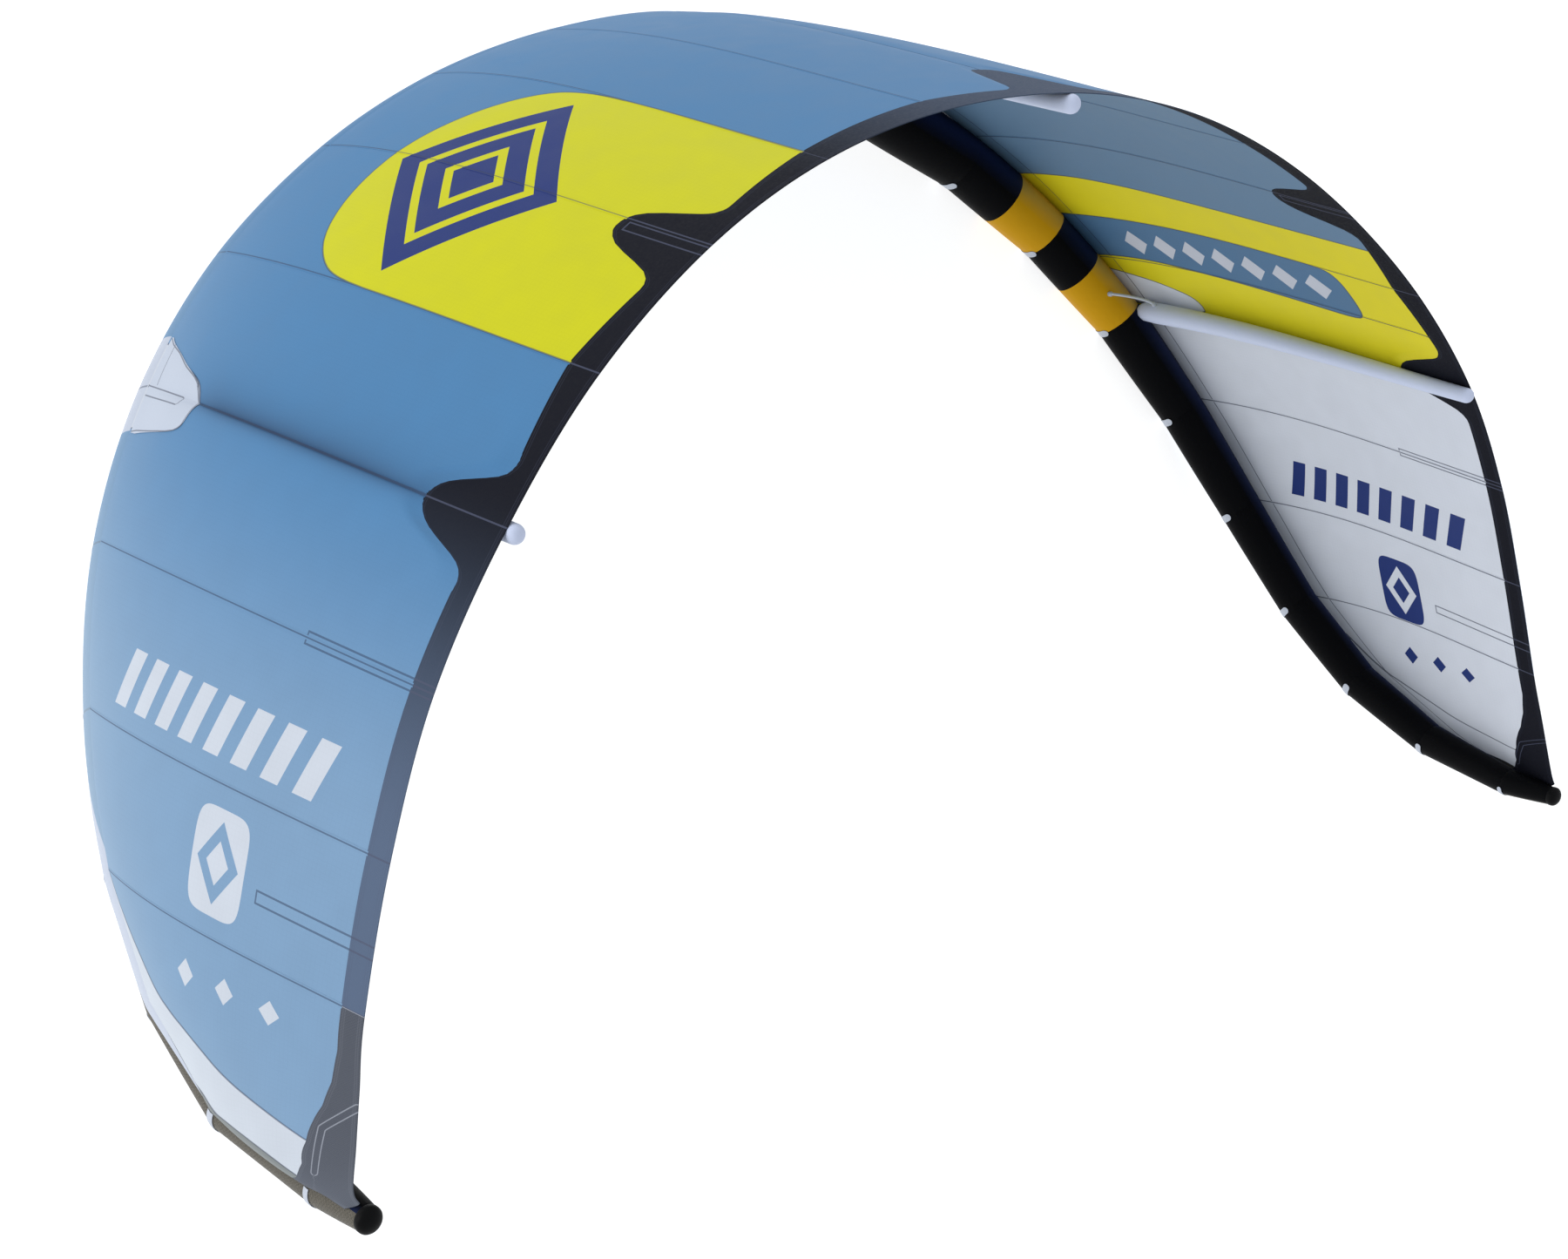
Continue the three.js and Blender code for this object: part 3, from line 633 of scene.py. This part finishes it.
# The seams between the panels, felled: the two edges folded into each other and sewn down.
# Each is a flat ridge 9 mm wide, of the same cloth as the panels beside it, with one row of dark thread
# that shows, double at the strut.
SEAM_WIDTH = 9.0
SEAMS = {"left": range(1, 9), "right": [*range(9), 4.5]}
seams = {}
for side, sign in SIDES.items():
    ridges, strips = bmesh.new(), []
    for seam in SEAMS[side]:
        shares = np.linspace(0.004, 1, 60) * (band_share(np.array([seam]))[0] + 0.002)
        _, across, along = mapped_grid(3, len(shares), ridges)
        share = shares[along]
        off = (across - 1) * SEAM_WIDTH / 2
        beside = [on_cloth(np.full(len(share), seam + step), share) for step in (-0.02, 0.02)]
        station = seam + off / np.linalg.norm(beside[1] - beside[0], axis=1) * 0.04
        strips.append((station, share, off / 1000 / (2.2 if seam == 5 else 1)))
    if sign == 1:
        bmesh.ops.reverse_faces(ridges, faces=ridges.faces)
    station, share, from_row = (np.concatenate(part) for part in zip(*strips))
    places = lifted(station, share, sign, cloth_lift)
    cut = on_cut(station, share)
    fields = {"wing": np.where(cut[:, 0] > spot(4.99)[0], 0.5, -0.5), **field_depths(side, cut)}
    cloths = [ripstop(side, fields, 0, 4.4, inside, seam=True) for inside in (False, True)]
    # Then where painted sheen lightens the cloth, and where painted shade darkens the valley over the side
    # strut.
    fields.update(from_row=from_row, bleach=painted_sheen_at(station, share * chord_metres(station)),
                  fold=fold_shade_at(station, share))
    seams[side] = to_piece(f"seams_{side}", None, "canopy_blue", ridges, places, cloths, cut, fields, 0.0024)


# The trailing edge band, in seven lengths, with its rounded patches at the struts and the third seam.
# Heavy polyester cloth, woven tight and filled with resin, dark, sewn over the panels' ends. The light
# stitches show on it where seams and batten pockets run across, and down the reinforced wingtip.
BAND_THREAD, TIP_THREAD = "#4F5468", "#9A9EA8"
BENDS = {"left": pairs("9.25,1 9.52,.927 9.77,.839 10.08,.787 10.58,.61"),
         "right": pairs("9.65,1 9.91,.8 10.2,.7 10.5,.54")}


def weave_of(add, cut, spacing):
    """The height of a plain weave on the flat cut: threads across and along, over and under."""
    waves = add("VectorMath SINE", add("VectorMath SCALE", cut, 2 * math.pi / spacing))
    return add("MULTIPLY", *add("SeparateXYZ", waves).outputs[:2])


def start_cloth(name, spacing, depth, strength, clouds):
    """A new material for a tight plain weave, with what every such cloth is made from."""
    made, add = new_material(name)
    cut = add("UVMap", uv_map="cut")
    height = weave_of(add, cut, spacing)
    bump = add("Bump", strength, depth, None, height)
    cloudy = add("TexNoise", add("TexCoord").outputs["Object"], None, clouds, 4.0)
    return made, add, cut, height, bump, cloudy


def dark_band(name, crossing, pockets, tip, inside):
    """Polyester sailcloth woven from thick threads: nearly black, dull, with painted sheen on its outer side.
    """
    # The weave is 0.4 mm in the real cloth and is drawn at 3 mm, at the tip, where it is coarser, at 7 mm.
    made, add, cut, height, bump, cloudy = start_cloth(name, 0.007 if tip else 0.003, 0.0004, 0.35, 5.0)
    x, y = add("SeparateXYZ", cut).outputs[:2]
    lines = [add("COMPARE", x, spot(station)[0], 0.002) for station in crossing]
    lines += [pocket_line(add, x, y, *pocket, 0.004) for pocket in pockets]
    hems = [add("COMPARE", "hem", inset, 0.0011) for inset in (0.006, 0.011)]
    lines += [add("MULTIPLY", hem, 0.12 if tip else 0.2) for hem in hems]
    if tip:
        lines += [add("COMPARE", "chevron", inset, 0.0015) for inset in (-0.009, 0.009)]
    base = paint_over(add, "#0F1018", cloudy, "#14151E")
    if not inside:
        # Painted sheen on the outer side.
        base = with_painted_sheen(add, base, 0.15 if tip else 0.23, "#B2BAC8" if tip else "#A6C2EC")
    worn = tip and not inside
    base = paint_over(add, base, add("MapRange", height, -1.0, 1.0, 0.0, 0.09 if worn else 0.02), "#8C93A8")
    stitches = add("MULTIPLY", any_of(add, lines), 0.7)
    base = paint_over(add, base, stitches, TIP_THREAD if worn else BAND_THREAD)
    close_material(add, base, add("MapRange", cloudy, 0.3, 0.7, 0.58, 0.7), bump, specular=0.05)
    return made


def band_piece(label, first, last, sign, crossing, pockets, with_pieces=()):
    cloths = [dark_band(f"band_cloth_{label}_{face}", crossing, pockets, first == 8, face == "inside")
              for face in ("outside", "inside")]
    corners = BAND_EDGE[:, 0]
    steps = np.unique(np.concatenate([np.arange(first, last, 0.04), corners, -corners, [last]]))
    stations = steps[(steps >= first) & (steps <= last)]
    stations = stations[np.concatenate([[True], np.diff(stations) > 0.004])]
    stations[-1] = last
    rows = np.linspace(0, 1, 11 if last <= 8 else 41)
    sheet = lay_out(stations, rows, lambda at: (band_share(at), 1), sign)
    share, chord = sheet.share, chord_metres(sheet.station)
    # More painted sheen on the band near the middle, on top of the wing's.
    centre_sheen = 0.6 * (1 - ease(np.abs(sheet.station), 0.3, 2.4))
    fields = {"hem": np.minimum((share - band_share(sheet.station)) * chord, (1 - share) * chord),
              "chevron": past_bend(sheet.cut, BENDS["right" if sign == 1 else "left"]),
              "bleach": painted_sheen_at(sheet.station, sheet.metres) + centre_sheen}
    sheet.cut[:, 0] *= np.where(sheet.station < 0, -1, 1)
    sew_on(f"band_{label}", f"binding_{label}", "binding", sheet, cloths, fields, 0.0022,
           rests_on=["canopy_left_1"], with_pieces=with_pieces)


def past_bend(cut, corners):
    """How far a place is beyond the bent rows of stitches on the wingtip's reinforcement."""
    bend = on_cut(*corners.T)
    best = np.full(len(cut), 9.0)
    for start, end in zip(bend[:-1], bend[1:]):
        edge = end - start
        t = np.clip(((cut - start) @ edge) / (edge @ edge), 0, 1)
        gap = cut - start - t[:, None] * edge
        distance = np.linalg.norm(gap, axis=1) * np.sign(edge[0] * gap[:, 1] - edge[1] * gap[:, 0])
        best = np.where(np.abs(distance) < np.abs(best), distance, best)
    return best


band_piece("centre", -2, 2, 1, [1.0], [])
for side, sign in SIDES.items():
    for number, first, last in ((1, 2, 4), (2, 4, 8), (3, 8, 11.8)):
        pockets = [p for p in POCKETS[side] if first <= p[0] <= last] + [(3.06, 0.855)] * (number == 1)
        band_piece(f"{side}_{number}", first, last, sign, range(first, min(int(last), 8) + 1), pockets,
                   [seams[side]] if number == 2 else [])


# The white patch over each side strut's front end, on the outside.
# White dacron, sewn round its edge and once more in a long pocket with a blunt end, where the strut's
# own seam starts. A third row follows the tube.
PATCH_EDGE = pairs("4.66,.01 4.7,.03 4.74,.07 4.81,.12 4.86,.171 4.9,.19 4.96,.199 5.03,.2 5.1,.198 "
                   "5.17,.192 5.215,.175 5.245,.14 5.27,.09 5.295,.03 5.31,.01")


def white_dacron(name, tint, outline=False):
    """Woven polyester, white, filled and pressed smooth: an even dull white with a fine square weave."""
    # The weave is 0.4 mm in the real cloth and is drawn at 4 mm.
    made, add, cut, height, bump, cloudy = start_cloth(name, 0.004, 0.0003, 0.3, 7.0)
    base = paint_over(add, tint, add("MapRange", cloudy, 0.35, 0.75, 0.0, 0.08), "#A3A9BA")
    base = paint_over(add, base, add("MapRange", height, -1.0, 1.0, 0.0, 0.04), "#7F879C")
    if outline:
        x, y = add("SeparateXYZ", cut).outputs[:2]
        before_strut = add("LESS_THAN", x, spot(4.98)[0])
        lines = [add("COMPARE", "hem", 0.003, 0.00175), pocket_end(add, x, y),
                 add("MULTIPLY", add("COMPARE", "from_tube", 0.05, 0.0015), before_strut)]
        base = paint_over(add, base, add("MULTIPLY", any_of(add, lines), 0.66), "#3C4152")
    close_material(add, base, add("MapRange", cloudy, 0.2, 0.8, 0.5, 0.66), bump, specular=0.2)
    return made


def pocket_end(add, x, y):
    """Two rows of stitches 24 mm apart that close in a blunt end 160 mm back from the tube."""
    middle_x, middle_y = spot(5.03, 0.145)
    side_gap = add("SUBTRACT", add("ABSOLUTE", add("SUBTRACT", x, middle_x)), 0.012)
    back_gap = add("SUBTRACT", y, middle_y)
    slanted = add("ADD", add("ADD", side_gap, back_gap), 0.005)
    outline = add("MAXIMUM", add("MAXIMUM", side_gap, back_gap), slanted)
    return add("COMPARE", outline, 0.0, 0.00175)


patch_cloth = white_dacron("patch_dacron", "#B9C1CE", outline=True)
for side, sign in SIDES.items():
    stations = np.linspace(PATCH_EDGE[0, 0], PATCH_EDGE[-1, 0], 41)
    stations[np.abs(stations - 5).argmin()] = 5.0
    sheet = lay_out(stations, np.linspace(0, 1, 15), lambda at: (0.008, eased_edge(PATCH_EDGE, at)), sign,
                    lambda at, share: 1.8 + cloth_lift(at, share))
    # The outline goes on ahead of the tube, so that no row of stitches follows it there.
    hem = np.vstack([PATCH_EDGE, (5.31, -0.1), (4.66, -0.1)])
    fields = {"hem": depth_inside(sheet.cut, on_cut(*hem.T)), "from_tube": sheet.metres}
    sew_on(f"strut_patch_{side}", f"patch_{side}", "white_cloth", sheet, [patch_cloth], fields, 0.0009,
           rests_on=[f"canopy_{side}_5"])


# The leading edge tube: a sleeve of dacron over an air bladder, blown up hard.
# Straight lengths, sewn to each other in mitres, so the tube is a chain of short straight pieces that
# swell a little between the joints. Its inner side is black, its outer side is dyed like the canopy, with
# a white strip and a rough olive one that widen towards the tips.
TUBE_SIDES, TUBE_ROWS = 72, 20
AMBER_LENGTHS = [(3.5, 4.0), (4.45, 5.0)]
GROUND = 0.0002


def sleeve_dacron(name, tint, grain, upper=None, weave_tone=0.03, specular=0.16):
    """Dacron sailcloth: dense polyester weave with a resin finish, dull with a low sheen."""
    # The weave is 0.4 mm in the real cloth and is drawn at 3.5 mm, the olive strip's at 9 mm.
    made, add, cut, height, bump, cloudy = start_cloth(name, 0.0035, 0.0003, 0.3, 8.0)
    base = paint_over(add, tint, cloudy, grain)
    base = paint_over(add, base, add("MapRange", height, -1.0, 1.0, 0.0, weave_tone), "#9AA2B8")
    # A painted reflection of the canopy along the sleeve's upper side: navy on the black, a paler beige on
    # the amber.
    if upper:
        base = paint_over(add, base, "upper", upper)
    else:
        mitre = add("COMPARE", "from_joint", 0.0, 0.0025)
        base = paint_over(add, base, add("MULTIPLY", mitre, 0.5), SEAM_INK)
    if name == "sleeve_outer":
        # Painted sheen on the outer side, most on the lower wings.
        base = with_painted_sheen(add, base, 0.22, "#D0DBDE")
        for strip, ink in (("in_white", "#BEC5D2"), ("in_olive", "#24221C")):
            covered = add("GREATER_THAN", strip, 0.0)
            base = paint_over(add, base, covered, ink)
        rubbed = add("TexNoise", add("TexCoord").outputs["Object"], None, 60.0, 5.0)
        rubbed = add("MapRange", rubbed, 0.43, 0.57, 0.0, 0.62)
        mottle = add("MULTIPLY_ADD", weave_of(add, cut, 0.009), 0.1, rubbed)
        base = paint_over(add, base, add("MULTIPLY", covered, mottle, use_clamp=True), "#8F897C")
    close_material(add, base, add("MapRange", cloudy, 0.2, 0.8, 0.45, 0.58), bump, specular=specular)
    return made


# The third colour of the black and the amber cloth is a painted reflection of the canopy along the upper
# side.
SLEEVE_CLOTHS = {
    "black": sleeve_dacron("sleeve_black", "#020203", "#040405", "#182140", weave_tone=0.006, specular=0.04),
    "outer": sleeve_dacron("sleeve_outer", BLUE, "#537FA6"),
    "white": sleeve_dacron("sleeve_white", "#BEC5D2", "#B4BBC8"),
    "amber": sleeve_dacron("sleeve_amber", "#D29C02", "#C69303", "#BB9A4C", weave_tone=0.01, specular=0.08)}
CLOTH_ORDER = list(SLEEVE_CLOTHS)
# From which angle on the outer side is white or olive, at each station.
STRIPS = {"in_white": pairs("6.6,200 7,126 7.5,108 7.9,80 8,0"),
          "in_olive": pairs("8.3,200 8.7,128 9,104 9.5,90 9.9,80 10,0")}


def sleeve_colour(side, station, degrees):
    """Which cloth the sleeve is made of, at an angle from the trailing edge side towards the outside."""
    canopy_edge = 80 - 50 * ease(station, 10, 11.5)
    if canopy_edge < degrees < 200:
        return "white" if 4.66 < station < 5.3 and degrees < 170 else "outer"
    amber = side == "right" and any(first < station < last for first, last in AMBER_LENGTHS)
    return "amber" if amber else "black"


def tube_point(station, degrees, extra):
    """A place on the tube, extra millimetres off its surface. The lengths are straight between joints,
    apart from the outer side, which the canopy draws smooth."""
    joint = np.clip(np.floor(station - 1e-9).astype(int), 0, LAST - 1)
    part = (station - joint)[:, None]
    ends = []
    for at in (joint, joint + 1):
        along, across, outward = directions(at.astype(float))
        row = table_at(at.astype(float), False)
        angle = np.radians(degrees)[:, None]
        radius = row[:, 3:4] + extra[:, None]
        ends.append(row[:, :3] + radius * (across * np.cos(angle) + outward * np.sin(angle)))
    drawn = table_at(station, True)[:, :3] - table_at(station, False)[:, :3]
    return ends[0] * (1 - part) + ends[1] * part + drawn * outer_pull(station, degrees)[:, None]


def rolled_piece(*piece, sharp_ends=False):
    """A piece whose grid is rolled up: its two sides are joined and its ends filled, so that it is closed."""
    data = to_piece(*piece).data
    closing = bmesh.new()
    closing.from_mesh(data)
    bmesh.ops.remove_doubles(closing, verts=closing.verts, dist=0.00001)
    bmesh.ops.holes_fill(closing, edges=[e for e in closing.edges if e.is_boundary], sides=0)
    bmesh.ops.recalc_face_normals(closing, faces=closing.faces)
    if sharp_ends:
        for edge in closing.edges:
            edge.smooth = not any(len(face.verts) > 4 for face in edge.link_faces)
    closing.to_mesh(data)
    closing.free()


for side, sign in SIDES.items():
    for number in range(1, LAST + 1):
        grid, across, along = mapped_grid(TUBE_SIDES + 1, TUBE_ROWS + 3)
        degrees = 80 - across * 360 / TUBE_SIDES
        turned = degrees % 360
        share = np.concatenate([[0, 0.012], np.arange(1, TUBE_ROWS) / TUBE_ROWS, [0.988, 1]])[along]
        from_end = np.minimum(share, 1 - share)
        station = number - 1 + share
        swell = 1.1 * np.sin(np.pi * share) ** 0.6 - 0.9 * np.exp(-from_end / 0.01)
        ripple = 0.5 * np.sin(np.radians(degrees) * 19 + number) * np.exp(-from_end / 0.06)
        first_touch = 20 - 30 * ease(station, 10.8, 11.2)
        under_cloth = ease(turned, first_touch, first_touch + 30) * (1 - ease(turned, 90, 130))
        loose = 1 - 0.8 * np.maximum(outer_pull(station, degrees), under_cloth)
        places = lying(tube_point(station, degrees, (swell + ripple) * loose), sign)
        places[:, 2] = np.maximum(places[:, 2], GROUND)
        girth = 2 * math.pi * STATIONS[number, 3] / 1000
        length = np.linalg.norm(STATIONS[number, :3] - STATIONS[number - 1, :3]) / 1000
        cut = np.stack([across / TUBE_SIDES * girth, (number - 1 + share) * length], 1)
        # Where the painted reflection of the canopy lies along the sleeve, how much painted sheen lightens
        # it, and how far from a joint.
        fields = {"upper": np.exp(-((turned - 36) / 26) ** 2), "bleach": painted_sheen_at(station, 0),
                  "from_joint": from_end * length}
        fields.update((strip, turned - np.interp(station, *table.T)) for strip, table in STRIPS.items())
        for face in grid.faces:
            corners = [v.index for v in face.verts]
            face.material_index = CLOTH_ORDER.index(
                sleeve_colour(side, station[corners].mean(), degrees[corners].mean() % 360))
        rolled_piece(f"sleeve_{side}_{number}", f"tube_{side}_{number}",
                     "tube_blue" if number <= 8 else "tube_tip",
                     grid, places, SLEEVE_CLOTHS.values(), cut, fields, sharp_ends=True)


# White webbing tapes over the mitre joints, where the tube rubs on the beach.
# Each is a short length of woven polyester tape with round ends, sewn flat over the joint. Near the
# wingtips they go on over the outer side, up to the canopy.
TAPE_ENDS = {3: 297, 4: 292, 5: 289, 6: 287, 7: 285, 8: 282, 9: 278, 10: 268, 11: 240}
TAPE_STARTS = {10: 82, 11: 54}
TAPE_COLUMNS = 33
tape_cloth = white_dacron("tape_webbing", "#BFC5D0")
for side, sign in SIDES.items():
    for joint, tape_end in TAPE_ENDS.items():
        tape_start, half_width = TAPE_STARTS.get(joint, 132), 10.0 if joint in TAPE_STARTS else 12.5
        grid, across, along = mapped_grid(TAPE_COLUMNS, 7)
        turn = np.sin(np.linspace(-np.pi / 2, np.pi / 2, TAPE_COLUMNS))[across] / 2 + 0.5
        degrees = tape_start + turn * (tape_end - tape_start)
        round_part = np.degrees(half_width / STATIONS[joint, 3])
        from_start = 1 if joint in TAPE_STARTS else (degrees - tape_start) / round_part
        from_end = np.minimum(from_start, (tape_end - degrees) / round_part)
        narrowed = np.sqrt(np.clip(1 - np.clip(1 - from_end, 0, 0.995) ** 2, 0, 1))
        length = np.linalg.norm(STATIONS[joint, :3] - STATIONS[joint - 1, :3])
        station = joint + (along - 3) / 3 * half_width * narrowed / length
        places = lying(tube_point(station, degrees, np.full(len(degrees), 1.7)), sign)
        places[:, 2] = np.maximum(places[:, 2], GROUND)
        cut = np.stack([turn * 0.2, along * 0.004], 1)
        if sign == 1:
            bmesh.ops.reverse_faces(grid, faces=grid.faces)
        to_piece(f"joint_tape_{side}_{joint}", None, "white_cloth", grid, places, [tape_cloth], cut,
                 thickness=0.0012)


# Black caps over the two ends of the tube.
# Moulded rubber: a short sleeve drawn over the tube's end and rounded to a small flat.
def moulded_rubber(name, tint, rough_low, rough_high, specular):
    """Rubber from a mould: even colour, a soft gloss, a skin that is slightly uneven."""
    made, add = new_material(name)
    skin = add("TexNoise", add("TexCoord").outputs["Object"], None, 160.0, 3.0)
    base = paint_over(add, tint[0], skin, tint[1])
    rough = add("MapRange", skin, 0.3, 0.7, rough_low, rough_high)
    close_material(add, base, rough, add("Bump", 0.15, 0.0004, None, skin), specular=specular)
    return made


cap_rubber = moulded_rubber("cap_rubber", ("#030304", "#060708"), 0.45, 0.55, 0.1)
for side, sign in SIDES.items():
    profile = pairs("0.3,0 0.3,1.4 1.5,1.7 7,1.7 11,1.2 15,-1.2 18.5,-5 21.2,-10 23,-16 24,-21.5")
    grid, across, along = mapped_grid(49, len(profile))
    degrees = 80 - across * 360 / 48
    tips = np.full(len(across), float(LAST))
    beyond = directions(tips)[0] * profile[along, 0:1]
    places = lying(tube_point(tips, degrees, profile[along, 1]) + beyond, sign)
    rolled_piece(f"end_cap_{side}", f"cap_{side}", "cap", grid, places, [cap_rubber])


# The three struts: white dacron sleeves blown up hard, under a seam of the canopy.
# Each is fitted to the tube at its front, where it narrows, and closed by a sewn round cap at the back.
strut_cloth = white_dacron("strut_dacron", "#CAD3EA")
# Each strut's seam, side, and radius at the front and back. Then its fullness along the nose, and the
# angles of the rows round its back end.
SIDE_RADII = (35, 21)
STRUTS = {"centre": (0.0, 1, 40, 23), "right": (5.0, 1, *SIDE_RADII), "left": (5.0, -1, *SIDE_RADII)}
STRUT_SIDES = 40
NOSE = pairs("0.035,0.02 0.036,0.3 0.04,0.52 0.048,0.74 0.06,0.9 0.1,1")
END = np.radians([4, 12, 24, 40, 56, 70, 80, 87])
for name, (seam, sign, front, back) in STRUTS.items():
    shares = np.concatenate([NOSE[:-1, 0], np.linspace(0.08, 1.0, 60)])
    fullness = np.concatenate([np.interp(shares, *NOSE.T), np.cos(END) ** 0.7])
    beyond = np.concatenate([np.zeros(len(shares)), np.sin(END) * 0.9])
    shares = np.concatenate([shares, np.ones(len(END))])
    grid, across, along = mapped_grid(STRUT_SIDES + 1, len(shares))
    share = shares[along]
    station = np.full(len(share), seam)
    chordwise, normal = cloth_axes(station, share)
    sideways = np.cross(chordwise, normal)
    radius = front + (back - front) * share
    centre = (on_cloth(station, share) - normal * (CLOTH_FRONT + radius)[:, None]
              + chordwise * (beyond[along] * radius)[:, None])
    angle = np.pi / 2 - across * 2 * np.pi / STRUT_SIDES
    size = (radius * fullness[along])[:, None]
    skin = centre + size * (sideways * np.cos(angle)[:, None] + normal * np.sin(angle)[:, None])
    # Where the strut meets the leading edge tube, it lies on the tube's round.
    tube_row = STATIONS[int(seam)]
    along_tube = directions(np.array([seam]))[0][0]
    from_axis = skin - tube_row[:3]
    from_axis = from_axis - (from_axis @ along_tube)[:, None] * along_tube
    distance = np.linalg.norm(from_axis, axis=1)
    short = np.maximum(tube_row[3] + 1.2 - distance, 0)
    places = lying(skin + from_axis / distance[:, None] * short[:, None], sign)
    cut = np.stack([across / STRUT_SIDES * 0.2, share * 1.6], 1)
    rolled_piece(f"air_strut_{name}", f"strut_{name}", "white_cloth", grid, places, [strut_cloth], cut)


# The hose that fills each side strut from the tube, with a round fitting at each end.
# Extruded polyurethane, white, 9 mm across, pushed on moulded nipples that are welded to the bladders.
hose_plastic = moulded_rubber("hose_polyurethane", ("#BCC2CE", "#AFB5C2"), 0.3, 0.42, 0.4)
# The fitting's outline is in mm: how far along the hose, and its radius there.
HOSE_SIDES, HOSE_RADIUS = 20, 4.5
LEAVES_TUBE, LEAVES_AT_ANGLE, ENTERS_STRUT, CLEAR = 4.72, math.radians(-5), 0.1, 0.3
FITTING = pairs("0,8 1.2,8 2,7.2 3.4,7.2 4.4,8 9.2,8 10,7.4 10.3,5.2 12,4.5").tolist()
for side, sign in SIDES.items():
    at = np.array([LEAVES_TUBE])
    _, across_there, outward_there = directions(at)
    tube_row = table_at(at, False)[0]
    leave = across_there[0] * math.cos(LEAVES_AT_ANGLE) + outward_there[0] * math.sin(LEAVES_AT_ANGLE)
    start = tube_row[:3] + leave * (tube_row[3] + CLEAR)
    there = np.array([5.0]), np.array([ENTERS_STRUT])
    chordwise, normal = (v[0] for v in cloth_axes(*there))
    inward = np.cross(chordwise, normal)
    radius = SIDE_RADII[0] + (SIDE_RADII[1] - SIDE_RADII[0]) * ENTERS_STRUT
    end = on_cloth(*there)[0] - normal * (CLOTH_FRONT + radius) + inward * (radius + CLEAR)
    reach = 0.2 * np.linalg.norm(end - start)
    path = bezier(np.linspace(0, 1, 61)[:, None], start, start + leave * reach, end + inward * reach, end)
    gone = travelled(path)
    middle = [(d, HOSE_RADIUS) for d in np.linspace(14, gone[-1] - 14, 36)]
    profile = np.array(FITTING + middle + [(gone[-1] - d, r) for d, r in reversed(FITTING)])
    paths = np.hstack([path, unit(np.gradient(path, axis=0))])
    centres, tangents = np.hsplit(np.stack([np.interp(profile[:, 0], gone, way) for way in paths.T], 1), 2)
    first_axis = unit(np.cross(tangents, normal))
    second_axis = np.cross(tangents, first_axis)
    grid, across, along = mapped_grid(HOSE_SIDES + 1, len(profile))
    angle = (across * 2 * np.pi / HOSE_SIDES)[:, None]
    round_hose = first_axis[along] * np.cos(angle) + second_axis[along] * np.sin(angle)
    skin = centres[along] + profile[along, 1:2] * round_hose
    rolled_piece(f"fill_hose_{side}", f"hose_{side}", "hose", grid, lying(skin, sign), [hose_plastic])
